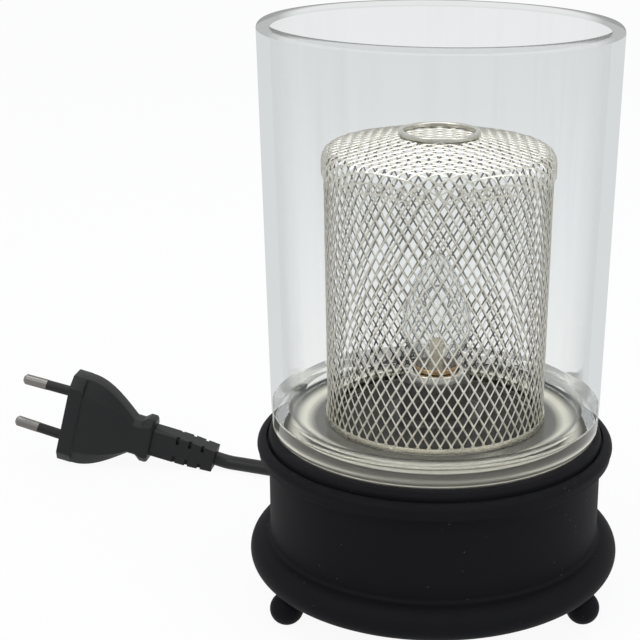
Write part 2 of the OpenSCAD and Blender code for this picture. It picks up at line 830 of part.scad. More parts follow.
module rounded_bar(w, h, r) {
    square([w - 2 * r, h], center = true);
    square([w, h - 2 * r], center = true);
    for (x = [-1, 1], y = [-1, 1])
        translate([x * (w / 2 - r), y * (h / 2 - r)]) circle(r);
}

module coil_tie() {
    reach = coil_out_r - coil_in_r + cord_d + 1.2;
    rise = coil_pitch + cord_d + 0.6;
    color(black) translate([coil_pos.x, coil_pos.y, (coil_low_z + coil_high_z) / 2])
        rotate([0, 0, tie_turn]) translate([(coil_out_r + coil_in_r) / 2, tie_w / 2, 0]) rotate([90, 0, 0])
            linear_extrude(tie_w) difference() {
                rounded_bar(reach + 2 * tie_t, rise + 2 * tie_t, cord_r);
                rounded_bar(reach, rise, cord_r - tie_t);
            }
}

// Plug: drawn along +X from the end of its strain relief to the tips of its pins

module at_plug() {
    translate(plug_end) rotate([0, -plug_tilt, 180 - plug_yaw]) children();
}

face_x = relief_l + plug_l;
collar_x = relief_l + collar_l;
shoulder_x = face_x - plug_face_l;

module plug_outline() {
    neck_x = collar_x + 4;
    upper = concat(
        [[relief_l, collar_w / 2 - 0.6], [relief_l + 0.8, collar_w / 2], [collar_x - 1, collar_w / 2]],
        [[collar_x + 1, neck_w / 2], [neck_x, neck_w / 2]],
        [for (i = [1 : 8]) let (u = i / 8)
            [neck_x + (shoulder_x - neck_x) * u, neck_w / 2 + (plug_w - neck_w) / 2 * sin(90 * u)]],
        [[face_x - 0.6, plug_w / 2], [face_x, plug_w / 2 - 0.6]]
    );
    polygon(concat(upper, [for (i = [len(upper) - 1 : -1 : 0]) [upper[i].x, -upper[i].y]]));
}

module plug_side_outline() {
    upper = [
        [relief_l - 1, plug_thin / 2], [collar_x + 1, plug_thin / 2],
        [shoulder_x - 4, plug_t / 2 - 0.6], [shoulder_x, plug_t / 2 - 0.6],
        [shoulder_x + 0.4, plug_t / 2], [face_x + 1, plug_t / 2],
    ];
    polygon(concat(upper, [for (i = [len(upper) - 1 : -1 : 0]) [upper[i].x, -upper[i].y]]));
}

// Puts a shape drawn along +Z on a pin's line, starting at the plug's face
module on_pin(side) {
    translate([face_x, 0, side * pin_pitch / 2]) rotate([0, 90 + side * pin_toe, 0]) children();
}

module plug_body() {
    color(plug_grey) at_plug() difference() {
        intersection() {
            rotate([90, 0, 0]) linear_extrude(plug_t + 2, center = true) plug_outline();
            linear_extrude(plug_w + 2, center = true) plug_side_outline();
        }
        for (side = [-1, 1])
            on_pin(side) translate([0, 0, -pin_core_l])
                cylinder(h = pin_core_l + 1, d = pin_core_d + 2 * tiny);
    }
}

module plug_relief() {
    slot_w = 1.2;
    slot_step = relief_l / (relief_slots + 2);
    color(plug_grey) at_plug() difference() {
        intersection() {
            rotate([90, 0, 0]) linear_extrude(relief_t, center = true)
                polygon([
                    [0, -relief_tip_w / 2], [relief_l, -relief_w / 2],
                    [relief_l, relief_w / 2], [0, relief_tip_w / 2],
                ]);
            rotate([0, 90, 0]) cylinder(h = relief_l, d = relief_w + 0.2);
        }
        for (i = [1 : relief_slots], side = [-1, 1], edge = [-1, 1])
            translate([slot_step * i, side * relief_t / 2, edge * relief_w * 0.32])
                cube([slot_w, 2.4, relief_w * 0.24], center = true);
    }
}

module plug_pins() {
    tip = 0.8;
    tip_l = pin_l - sleeve_l;
    color(steel) at_plug() for (side = [-1, 1]) on_pin(side) rotate_extrude() polygon([
        [0, -pin_core_l], [pin_core_d / 2, -pin_core_l], [pin_core_d / 2, sleeve_l], [pin_d / 2, sleeve_l],
        [pin_d / 2, sleeve_l + tip_l - tip], [pin_d / 2 - tip, pin_l], [0, pin_l],
    ]);
}

module pin_sleeves() {
    color(black) at_plug() for (side = [-1, 1]) on_pin(side)
        disc_tube(pin_d / 2 - 0.1, pin_core_d / 2 + tiny, 0.1, sleeve_l);
}

base_shell();
seat_plate();
lamp_cup();
bottom_cover();
foot_left();
foot_right();
foot_rear();
foot_studs();
clamp_rod();
rod_washer();
rod_nut();
holder_body();
holder_cap();
thread_shell();
contact_block();
centre_contact();
cord_gland();
inner_cord();
cord_clamp();
clamp_screws();
live_wire();
neutral_wire();
cord_lead();
cord_coil();
cord_tail();
coil_tie();
plug_body();
plug_relief();
plug_pins();
pin_sleeves();
bulb_cap();
bulb_insulator();
bulb_contact();
bulb_glass();
bulb_stem();
filament_leads();
filament();
glass_jar();
basket_side();
basket_top();
basket_hoop();
vent_ring();
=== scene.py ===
"""Looks of an electric wax melt warmer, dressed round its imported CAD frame.

Lengths are written in millimetres and turned to metres where a mesh is made.
"""

import logging
import math
from dataclasses import dataclass
from enum import Enum, IntEnum
from typing import Any, Iterable, Sequence, Union

import bmesh
import bpy
from mathutils import Matrix, Vector


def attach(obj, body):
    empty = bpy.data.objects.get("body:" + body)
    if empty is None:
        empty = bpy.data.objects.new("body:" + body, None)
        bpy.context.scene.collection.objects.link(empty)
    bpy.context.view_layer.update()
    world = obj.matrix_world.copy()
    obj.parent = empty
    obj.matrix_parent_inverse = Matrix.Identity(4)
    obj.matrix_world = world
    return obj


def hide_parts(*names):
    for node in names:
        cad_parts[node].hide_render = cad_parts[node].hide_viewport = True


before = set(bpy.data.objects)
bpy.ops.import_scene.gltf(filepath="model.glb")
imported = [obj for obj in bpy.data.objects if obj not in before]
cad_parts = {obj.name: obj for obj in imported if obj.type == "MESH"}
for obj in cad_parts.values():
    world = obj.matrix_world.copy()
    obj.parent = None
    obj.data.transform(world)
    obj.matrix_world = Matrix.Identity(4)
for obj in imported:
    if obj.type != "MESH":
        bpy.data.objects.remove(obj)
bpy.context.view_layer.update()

LOG = logging.getLogger("warmer")
MM = 0.001
FINE_SIDES = 256
TURNED_SIDES = 192
SMALL_SIDES = 96
FINE_DETAIL = 3.0
SMOOTH_ANGLE = math.radians(32)
MESH_ANGLE = math.radians(80)

Colour = tuple[float, float, float]
Flat = tuple[float, float]
Point = tuple[float, float, float]
WHITE: Colour = (1.0, 1.0, 1.0)


class Body(Enum):
    """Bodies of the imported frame."""

    BASE = "base"
    GLASS = "glass"
    BASKET = "basket"
    BULB = "bulb"


class Wrap(Enum):
    """How a flat lattice of expanded metal is laid on its form."""

    TUBE = "tube"
    DOME = "dome"


class Zone(IntEnum):
    """Zones of the jar's glass, numbered as its materials."""

    WALL = 0
    UNDERSIDE = 1
    HEEL = 2
    RIM = 3
    LINING = 4


class Val:
    """One output of a node tree; arithmetic on it adds Math nodes."""

    def __init__(self, graph: "Graph", socket: bpy.types.NodeSocket | None) -> None:
        """Keeps the tree and the socket."""
        self.graph = graph
        self.socket = socket

    def maths(self, operation: str, *values: "Number") -> "Val":
        """The result of a Math node on values, which are its inputs in order."""
        return self.graph.node("ShaderNodeMath", {"operation": operation}, dict(enumerate(values)))

    def __add__(self, other: "Number") -> "Val":
        """self + other."""
        return self.maths("ADD", self, other)

    __radd__ = __add__

    def __sub__(self, other: "Number") -> "Val":
        """self - other."""
        return self.maths("SUBTRACT", self, other)

    def __rsub__(self, other: "Number") -> "Val":
        """other - self."""
        return self.maths("SUBTRACT", other, self)

    def __mul__(self, other: "Number") -> "Val":
        """self * other."""
        return self.maths("MULTIPLY", self, other)

    __rmul__ = __mul__

    def __truediv__(self, other: "Number") -> "Val":
        """self / other."""
        return self.maths("DIVIDE", self, other)

    def __rtruediv__(self, other: "Number") -> "Val":
        """other / self."""
        return self.maths("DIVIDE", other, self)

    def above(self, level: float, width: float) -> "Val":
        """A soft step from 0 to 1 that starts at a level and has a width."""
        span = {"Value": self, "From Min": level, "From Max": level + width}
        return self.graph.node("ShaderNodeMapRange", {"clamp": True}, span)


Number = Union[Val, float, int]


class Graph:
    """A node tree under construction."""

    def __init__(self, tree: bpy.types.NodeTree) -> None:
        """Keeps the tree."""
        self.tree = tree

    def node(
        self,
        kind: str,
        settings: dict[str, Any] | None = None,
        inputs: dict[Any, Any] | None = None,
        output: int | str = 0,
    ) -> Val:
        """Adds any node.

        Args:
            kind: The node's type.
            settings: Its own settings, set first.
            inputs: Values or links for its sockets, by name or number.
            output: The output wanted.

        Returns:
            That output.
        """
        made = self.tree.nodes.new(kind)
        for name, value in (settings or {}).items():
            setattr(made, name, value)
        for name, value in (inputs or {}).items():
            if isinstance(value, Val):
                self.tree.links.new(value.socket, made.inputs[name])
            else:
                made.inputs[name].default_value = value
        return Val(self, made.outputs[output] if made.outputs else None)

    def length(self, vector: Val) -> Val:
        """A vector's length."""
        return self.node("ShaderNodeVectorMath", {"operation": "LENGTH"}, {0: vector}, "Value")

    def part(self, vector: Val, axis: int) -> Val:
        """A vector's part along an axis, by the axis's number."""
        return self.node("ShaderNodeSeparateXYZ", inputs={0: vector}, output=axis)

    def ray(self, kind: str) -> Val:
        """1 for rays of a kind, by the Light Path node's name for it."""
        return self.node("ShaderNodeLightPath", output=f"Is {kind} Ray")

    def seen(self) -> Val:
        """1 for rays of the camera and those that metal and glass send on."""
        return (self.ray("Camera") + self.ray("Glossy") + self.ray("Transmission")).above(0.0, 0.5)

    def blended(self, share: Val, first: Val, second: Val) -> Val:
        """Two shaders mixed, with a share of the second."""
        return self.node("ShaderNodeMixShader", inputs={0: share, 1: first, 2: second})


class Shade(Graph):
    """A material's tree, read in Object coordinates."""

    def __init__(self, name: str) -> None:
        """Makes an empty material.

        Args:
            name: The material's name.
        """
        self.material = bpy.data.materials.new(name)
        self.material.use_nodes = True
        super().__init__(self.material.node_tree)
        self.tree.nodes.clear()
        self.place = self.node("ShaderNodeTexCoord", output="Object")

    def stretched(self, scale: Point) -> Val:
        """Object coordinates, scaled along each axis."""
        return self.node("ShaderNodeMapping", inputs={"Vector": self.place, "Scale": scale})

    def noise(self, scale: float, detail: float = 2.0, at: Val | None = None) -> Val:
        """Noise from 0 to 1, given waves for each metre, octaves and other coordinates, if any."""
        return self.node("ShaderNodeTexNoise", inputs={"Vector": at or self.place, "Scale": scale, "Detail": detail})

    def from_axis(self) -> Val:
        """Distance from the object's upright axis, in millimetres."""
        return self.length(self.stretched((1.0, 1.0, 0.0))) / MM

    def height(self) -> Val:
        """Height in the object's own coordinates, in millimetres."""
        return self.part(self.place, 2) / MM

    def specks(self, scale: float, size: float) -> Val:
        """1 on scattered dots, given cells for each metre and a dot's radius as a share of its cell."""
        cell = self.node("ShaderNodeTexVoronoi", {"feature": "F1"}, {"Vector": self.place, "Scale": scale})
        return 1 - cell.above(size, size)

    def mixed(self, share: Number, first: Colour | Val, second: Colour | Val) -> Val:
        """Two colours or links mixed, with a share of the second."""
        ends = [c if isinstance(c, Val) else (*c, 1.0) for c in (first, second)]
        return self.node("ShaderNodeMix", {"data_type": "RGBA"}, {0: share, 6: ends[0], 7: ends[1]}, 2)

    def bump(self, height: Val, depth: float, strength: float = 0.5) -> Val:
        """A normal from a height of 0 to 1, whose depth is in millimetres."""
        return self.node("ShaderNodeBump", inputs={"Height": height, "Distance": depth * MM, "Strength": strength})

    def principled(self, inputs: dict[str, Any]) -> Val:
        """A Principled shader with these inputs."""
        full = {k: (*v, 1.0) if isinstance(v, tuple) and len(v) == 3 else v for k, v in inputs.items()}
        return self.node("ShaderNodeBsdfPrincipled", inputs=full)

    def finish(self, surface: Val) -> bpy.types.Material:
        """The material, with a shader joined to its output."""
        self.node("ShaderNodeOutputMaterial", inputs={"Surface": surface})
        return self.material


class Finish:
    """A finish that makes its material once."""

    _made: dict[str, bpy.types.Material] = {}

    name: str

    def material(self) -> bpy.types.Material:
        """Gives the material.

        Returns:
            The material, made on first use.
        """
        if self.name not in Finish._made:
            shade = Shade(self.name)
            Finish._made[self.name] = shade.finish(self.surface(shade))
        return Finish._made[self.name]

    def surface(self, shade: Shade) -> Val:
        """Builds the shader.

        Args:
            shade: An empty material tree.

        Returns:
            The shader.
        """
        raise NotImplementedError


@dataclass(frozen=True)
class Paint(Finish):
    """Matte paint with a fine grain, soft mottling and a few pale specks."""

    name: str
    dark: Colour
    light: Colour
    speck: Colour
    rough: float
    gloss: float = 0.06
    grain: float = 2600.0
    grain_share: float = 0.6
    cloud: float = 55.0
    dust: Flat = (330.0, 0.036)
    dust_field: float = 40.0
    dust_edge: Flat = (0.5, 0.1)
    swing: Flat = (-0.06, 0.16)
    deep: Flat = (0.05, 0.55)

    def surface(self, shade: Shade) -> Val:
        """Builds the paint.

        Args:
            shade: An empty material tree.

        Returns:
            The shader.
        """
        grain, cloud = shade.noise(self.grain, FINE_DETAIL), shade.noise(self.cloud)
        dust = shade.specks(*self.dust) * shade.noise(self.dust_field).above(*self.dust_edge)
        share = grain * self.grain_share + cloud * (1 - self.grain_share)
        return shade.principled(
            {
                "Base Color": shade.mixed(dust, shade.mixed(share, self.dark, self.light), self.speck),
                "Roughness": self.rough + self.swing[0] + grain * self.swing[1],
                "Specular IOR Level": self.gloss,
                "Normal": shade.bump(grain, *self.deep),
            }
        )


@dataclass(frozen=True)
class Moulding(Finish):
    """Moulded plastic or rubber with a faint spark-eroded texture."""

    name: str
    dark: Colour
    light: Colour
    rough: float
    grain: float = 3200.0
    deep: float = 0.03
    gloss: float = 0.25
    grain_share: float = 0.3
    cloud: float = 80.0
    swing: Flat = (-0.05, 0.1)

    def surface(self, shade: Shade) -> Val:
        """Builds the moulding.

        Args:
            shade: An empty material tree.

        Returns:
            The shader.
        """
        grain, cloud = shade.noise(self.grain), shade.noise(self.cloud)
        share = grain * self.grain_share + cloud * (1 - self.grain_share)
        return shade.principled(
            {
                "Base Color": shade.mixed(share, self.dark, self.light),
                "Roughness": self.rough + self.swing[0] + cloud * self.swing[1],
                "Specular IOR Level": self.gloss,
                "Normal": shade.bump(grain, self.deep),
            }
        )


@dataclass(frozen=True)
class Metal(Finish):
    """Bare or plated metal with drawn streaks and slight tarnish."""

    name: str
    bright: Colour
    dull: Colour
    rough: float
    streak: Point = (500.0, 500.0, 4000.0)
    spots: float = 120.0
    swing: Point = (-0.08, 0.1, 0.08)
    deep: float = 0.012

    def skin(self, shade: Shade, tarnish: Val) -> Val:
        """The metal's colour."""
        return shade.mixed(tarnish, self.bright, self.dull)

    def surface(self, shade: Shade) -> Val:
        """Builds the metal.

        Args:
            shade: An empty material tree.

        Returns:
            The shader.
        """
        streaks = shade.noise(1.0, at=shade.stretched(self.streak))
        tarnish = shade.noise(self.spots, FINE_DETAIL)
        return shade.principled(
            {
                "Base Color": self.skin(shade, tarnish),
                "Metallic": 1.0,
                "Roughness": self.rough + self.swing[0] + streaks * self.swing[1] + tarnish * self.swing[2],
                "Normal": shade.bump(streaks, self.deep),
            }
        )


@dataclass(frozen=True)
class ShadedInsideMetal(Metal):
    """Metal with painted shade on its side towards the axis; middle is its radius at height 0 and the growth."""

    # inside is the painted shade colour for the side towards the axis.
    inside: Colour = (0.2, 0.19, 0.17)
    middle: Flat = (0.0, 0.0)
    soft: float = 0.3

    def skin(self, shade: Shade, tarnish: Val) -> Val:
        """The metal's colour, with painted shade inside its middle line."""
        far = shade.from_axis() - shade.height() * self.middle[1] - self.middle[0]
        return shade.mixed(far.above(-self.soft / 2, self.soft), self.inside, super().skin(shade, tarnish))


@dataclass(frozen=True)
class PaintedLightUnderside(Finish):
    """Underside of a glass foot, matt, with painted light on a ring and low in its hole for light refracted through
    the heel.
    """

    name: str
    dark: Colour
    painted_light: Colour
    hole: Flat
    ring: Flat
    soft: float = 3.4
    hole_soft: Flat = (0.15, 0.3)
    grain: float = 900.0
    cloud: Flat = (0.9, 0.2)
    rough: Flat = (0.6, 0.2)
    gloss: float = 0.1
    deep: float = 0.03

    def surface(self, shade: Shade) -> Val:
        """Builds the matt underside with its painted light.

        Args:
            shade: An empty material tree.

        Returns:
            The shader.
        """
        radius = shade.from_axis()
        # Painted light: a pale band on the ring and low in the hole stands for light refracted through the heel.
        low = 1 - shade.height().above(self.hole[1], self.hole_soft[1])
        painted_light_hole = (1 - radius.above(self.hole[0], self.hole_soft[0])) * low
        painted_light_ring = radius.above(self.ring[0], self.soft) * (1 - radius.above(self.ring[1], self.soft))
        grain = shade.noise(self.grain, FINE_DETAIL)
        share = (painted_light_hole + painted_light_ring) * (self.cloud[0] + grain * self.cloud[1])
        return shade.principled(
            {
                "Base Color": shade.mixed(share, self.dark, self.painted_light),
                "Roughness": self.rough[0] + grain * self.rough[1],
                "Specular IOR Level": self.gloss,
                "Normal": shade.bump(grain, self.deep),
            }
        )


@dataclass(frozen=True)
class ClearGlass(Finish):
    """Clear glass that lets lamps through, with faint painted refraction streaks and a tint that fades towards the
    foot as painted light.
    """

    name: str
    tint: Colour
    ior: float
    edge: Flat
    edge_tint: Colour
    low: Colour | None = None
    streaks: float = 0.0
    haze: float = 0.0
    leaving: float = 0.0
    mirror: Colour = (0.5, 0.5, 0.5)
    painted_light_fade: Flat = (75.0, 90.0)
    drawn: Point = (150.0, 150.0, 9.0)
    painted_streak_edge: Flat = (0.5, 0.2)
    painted_streak_tint: Colour = (0.6, 0.61, 0.61)
    ripple: Flat = (60.0, 0.02)
    shadow_tint: Colour = (0.97, 0.97, 0.97)

    def surface(self, shade: Shade) -> Val:
        """Builds the glass; seen along its surface, and for a share of what leaves it, it only tints.

        Args:
            shade: An empty material tree.

        Returns:
            The shader.
        """
        # Darker streaks painted into the tint stand for refraction streaks: painted shade.
        drawn = shade.noise(1.0, at=shade.stretched(self.drawn)).above(*self.painted_streak_edge)
        # Painted light: the tint is lighter below the fade heights, where the jar looks brighter round the basket's
        # lower half.
        tint = shade.mixed(shade.height().above(*self.painted_light_fade), self.low or self.tint, self.tint)
        glass = shade.principled(
            {
                "Base Color": shade.mixed(drawn * self.streaks, tint, self.painted_streak_tint),
                "Roughness": shade.noise(self.ripple[0]) * self.ripple[1],
                "IOR": self.ior,
                "Specular Tint": self.mirror,
                "Transmission Weight": 1.0 - self.haze,
            }
        )
        grazing = shade.node("ShaderNodeLayerWeight", inputs={"Blend": 0.5}, output="Facing").above(*self.edge)
        if self.leaving:
            grazing = grazing + shade.node("ShaderNodeNewGeometry", output="Backfacing") * self.leaving
        for share, through in ((grazing, self.edge_tint), (shade.ray("Shadow"), self.shadow_tint)):
            straight = shade.node("ShaderNodeBsdfTransparent", inputs={"Color": (*through, 1.0)})
            glass = shade.blended(share, glass, straight)
        return glass


BLACK_PAINT = Paint("black_paint", (0.004, 0.004, 0.005), (0.010, 0.010, 0.0118), (0.1, 0.1, 0.105), 0.6)
CUP_PAINT = Paint("cup_paint", (0.042, 0.041, 0.037), (0.06, 0.0585, 0.0525), (0.12, 0.12, 0.12), 0.6)
HOLDER_RESIN = Moulding("holder_resin", (0.042, 0.041, 0.037), (0.056, 0.0545, 0.049), 0.5)
BLACK_RESIN = Moulding("black_resin", (0.008, 0.008, 0.008), (0.014, 0.013, 0.013), 0.45)
PLUG_RUBBER = Moulding("plug_rubber", (0.0065, 0.007, 0.0075), (0.0105, 0.011, 0.0115), 0.5)
CORD_SHEATH = Moulding("cord_sheath", (0.008, 0.008, 0.0085), (0.014, 0.014, 0.0145), 0.42, 1800.0, 0.02)
TIE_STRIP = Moulding("tie_strip", (0.012, 0.012, 0.012), (0.02, 0.02, 0.02), 0.38, 900.0, 0.05)
PALE_RESIN = Moulding("pale_resin", (0.56, 0.53, 0.46), (0.68, 0.65, 0.58), 0.5)
BROWN_SLEEVE = Moulding("brown_sleeve", (0.09, 0.035, 0.014), (0.13, 0.055, 0.022), 0.4)
BLUE_SLEEVE = Moulding("blue_sleeve", (0.014, 0.045, 0.22), (0.022, 0.07, 0.32), 0.4)
SHEET_NICKEL = ((0.9, 0.87, 0.79), (0.58, 0.555, 0.49), 0.3, (900.0, 900.0, 900.0), 500.0)
# The mesh side carries painted shade on its side towards the axis.
MESH_NICKEL = ShadedInsideMetal("mesh_nickel", *SHEET_NICKEL, inside=(0.33, 0.32, 0.29), middle=(32.75, 0.01081))
DOME_NICKEL = Metal("dome_nickel", *SHEET_NICKEL)
# The hoop carries painted shade on its side towards the axis.
HOOP_NICKEL = ShadedInsideMetal("hoop_nickel", (0.76, 0.735, 0.66), (0.54, 0.515, 0.45), 0.26, middle=(33.2, 0.0))
RING_NICKEL = Metal("ring_nickel", (0.72, 0.7, 0.64), (0.52, 0.5, 0.44), 0.24)
SHELL_NICKEL = Metal("shell_nickel", (0.82, 0.81, 0.78), (0.68, 0.67, 0.63), 0.28)
PIN_NICKEL = Metal("pin_nickel", (0.22, 0.21, 0.2), (0.13, 0.125, 0.12), 0.26)
ZINC = Metal("zinc", (0.66, 0.68, 0.7), (0.5, 0.51, 0.54), 0.34)
CAP_BRASS = Metal("cap_brass", (0.5, 0.33, 0.16), (0.34, 0.21, 0.09), 0.34)
CONTACT_BRASS = Metal("contact_brass", (0.82, 0.6, 0.28), (0.64, 0.44, 0.18), 0.32)
SOLDER = Metal("solder", (0.6, 0.6, 0.61), (0.42, 0.42, 0.43), 0.46)
LAMP_WIRE = Metal("lamp_wire", (0.42, 0.41, 0.4), (0.24, 0.23, 0.23), 0.42)
BULB_CLEAR = ClearGlass("bulb_clear", (0.95, 0.955, 0.95), 1.16, (0.7, 0.14), (0.9, 0.9, 0.9), haze=0.07)
STEM_GLASS = ClearGlass("stem_glass", (0.93, 0.85, 0.68), 1.3, (0.7, 0.14), (0.9, 0.9, 0.9), haze=0.3)
JAR_FINISHES: dict[Zone, Finish] = {
    # The wall's lighter low tint is painted light.
    Zone.WALL: ClearGlass(
        "jar_glass", (0.71, 0.735, 0.738), 1.1, (0.42, 0.16), (0.825, 0.84, 0.84), low=(0.86, 0.875, 0.87)
    ),
    # The underside's pale ring and hole wall are painted light.
    Zone.UNDERSIDE: PaintedLightUnderside("underside_painted_light", (0.12, 0.117, 0.105), (0.9, 0.875, 0.775), (31.85, 57.0), (37.6, 43.0)),
    Zone.HEEL: ClearGlass(
        "heel_glass", (0.86, 0.875, 0.87), 1.5, (0.86, 0.1), (0.9, 0.91, 0.9), low=(0.86, 0.87, 0.83), leaving=0.45
    ),
    Zone.RIM: ClearGlass("rim_glass", (0.8, 0.81, 0.805), 1.03, (0.45, 0.2), (0.6, 0.605, 0.6)),
    # The lining carries painted refraction streaks.
    Zone.LINING: ClearGlass(
        "lining_glass", (0.99, 0.995, 0.995), 1.1, (0.42, 0.16), (0.975, 0.975, 0.975), streaks=0.16
    ),
}


def arc(centre: Flat, radius: float, start: float, end: float, steps: int = 8) -> list[Flat]:
    """Points of an arc between two angles in degrees, in a number of chords."""
    angles = [math.radians(start + (end - start) * i / steps) for i in range(steps + 1)]
    return [(centre[0] + radius * math.cos(a), centre[1] + radius * math.sin(a)) for a in angles]


def linked(name: str, data: bpy.types.ID) -> bpy.types.Object:
    """Adds an object to the scene.

    Args:
        name: The object's name.
        data: Its mesh, curve, lamp or camera.

    Returns:
        The object.
    """
    made = bpy.data.objects.new(name, data)
    bpy.context.scene.collection.objects.link(made)
    return made


def meshed(name: str, bm: bmesh.types.BMesh) -> bpy.types.Object:
    """Turns a built mesh into an object of the scene.

    Args:
        name: The object's name.
        bm: The mesh, in metres; it is freed.

    Returns:
        The object.
    """
    mesh = bpy.data.meshes.new(name)
    bm.to_mesh(mesh)
    bm.free()
    return linked(name, mesh)


def placed(name: str, bm: bmesh.types.BMesh, finish: Finish, angle: float = SMOOTH_ANGLE) -> bpy.types.Object:
    """Turns a built mesh into a smooth object with a finish.

    Args:
        name: The object's name.
        bm: The mesh, in metres; it is freed.
        finish: The finish.
        angle: Edges sharper than this stay sharp.

    Returns:
        The object.
    """
    made = meshed(name, bm)
    made.data.shade_smooth()
    made.data.set_sharp_from_angle(angle=angle)
    made.data.materials.append(finish.material())
    return made


def bridged(bm: bmesh.types.BMesh, rings: Sequence[Sequence[bmesh.types.BMVert]], closed: bool) -> None:
    """Joins rings in order and turns the faces outwards.

    Args:
        bm: The mesh that takes the faces.
        rings: Rings of equal count, or of one corner at a pole.
        closed: Joins the last ring to the first; else both are capped.
    """
    pairs = list(zip(rings, rings[1:])) + ([(rings[-1], rings[0])] if closed else [])
    ends = [] if closed else [ring for ring in (rings[0], rings[-1]) if len(ring) > 1]
    faces = [bm.faces.new(ring) for ring in ends]
    for low, high in pairs:
        for k in range(max(len(low), len(high))):
            n = k + 1
            corners = (low[k % len(low)], low[n % len(low)], high[n % len(high)], high[k % len(high)])
            corners = tuple(dict.fromkeys(corners))
            if len(corners) > 2:
                faces.append(bm.faces.new(corners))
    bmesh.ops.recalc_face_normals(bm, faces=faces)


def turned(profile: Sequence[Flat], sides: int = TURNED_SIDES, shift: Flat = (0.0, 0.0)) -> bmesh.types.BMesh:
    """Turns a solid.

    Args:
        profile: Radius and height, in millimetres, round a closed outline or from pole to pole.
        sides: Sides of the turning.
        shift: Where its axis stands, in millimetres.

    Returns:
        The solid, in metres.
    """
    bm = bmesh.new()
    rings = []
    for radius, height in profile:
        angles = [2 * math.pi * k / sides for k in range(sides if radius > 0 else 1)]
        spots = [(shift[0] + radius * math.cos(a), shift[1] + radius * math.sin(a), height) for a in angles]
        rings.append([bm.verts.new(Vector(spot) * MM) for spot in spots])
    bridged(bm, rings, closed=profile[0][0] > 0)
    return bm


def swept(bm: bmesh.types.BMesh, path: Sequence[Point], radius: float, sides: int) -> None:
    """Adds a round wire along a path.

    Args:
        bm: The mesh that takes it, in metres.
        path: Points in millimetres.
        radius: The wire's radius in millimetres.
        sides: Sides of the wire.
    """
    points = [Vector(p) for p in path]
    across = (points[1] - points[0]).normalized().orthogonal()
    angles = [2 * math.pi * k / sides for k in range(sides)]
    rings = []
    for i, spot in enumerate(points):
        along = (points[min(i + 1, len(points) - 1)] - points[max(i - 1, 0)]).normalized()
        across = (across - along * across.dot(along)).normalized()
        up = along.cross(across)
        ring = [spot + radius * (across * math.cos(a) + up * math.sin(a)) for a in angles]
        rings.append([bm.verts.new(corner * MM) for corner in ring])
    bridged(bm, rings, closed=False)


def smooth_path(points: Sequence[Point], steps: int = 6) -> list[Point]:
    """A smooth line through points.

    Args:
        points: The points.
        steps: New points for each stretch.

    Returns:
        Points of a Catmull-Rom line with its ends kept.
    """
    spots = [Vector(p) for p in points]
    spots = [2 * spots[0] - spots[1], *spots, 2 * spots[-1] - spots[-2]]
    line = []
    for a, b, c, d in zip(spots, spots[1:], spots[2:], spots[3:]):
        for t in (i / steps for i in range(steps)):
            bend = (2 * a - 5 * b + 4 * c - d) * t * t + (3 * b - a - 3 * c + d) * t ** 3
            line.append(0.5 * (2 * b + (c - a) * t + bend))
    return [tuple(p) for p in (*line, spots[-2])]


def poly_curve(name: str, line: Sequence[Point]) -> bpy.types.Curve:
    """Makes an open curve.

    Args:
        name: The curve's name.
        line: Its points in millimetres.

    Returns:
        The curve, in metres.
    """
    curve = bpy.data.curves.new(name, "CURVE")
    curve.dimensions = "3D"
    spline = curve.splines.new("POLY")
    spline.points.add(len(line) - 1)
    for held, spot in zip(spline.points, line):
        held.co = (*(Vector(spot) * MM), 1.0)
    return curve


def settle(piece: bpy.types.Object, body: Body, slot: str, *nodes: str) -> bpy.types.Object:
    """Ties a piece to its body and hides the CAD nodes that it stands for.

    Args:
        piece: The piece.
        body: The body it rides on.
        slot: Not used.
        nodes: CAD nodes that it replaces.

    Returns:
        The piece.
    """
    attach(piece, body.value)
    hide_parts(*nodes)
    LOG.info("%s rides on %s and stands for %s", piece.name, body.value, ", ".join(nodes))
    return piece


def dress(finish: Finish, *nodes: str) -> None:
    """Gives CAD nodes that stay a finish.

    Args:
        finish: The finish.
        nodes: The nodes.
    """
    for node in nodes:
        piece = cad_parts[node]
        if not piece.material_slots:
            piece.data.materials.append(finish.material())
        for held in piece.material_slots:
            held.material = finish.material()
        LOG.info("%s keeps its CAD shape in %s", node, finish.name)


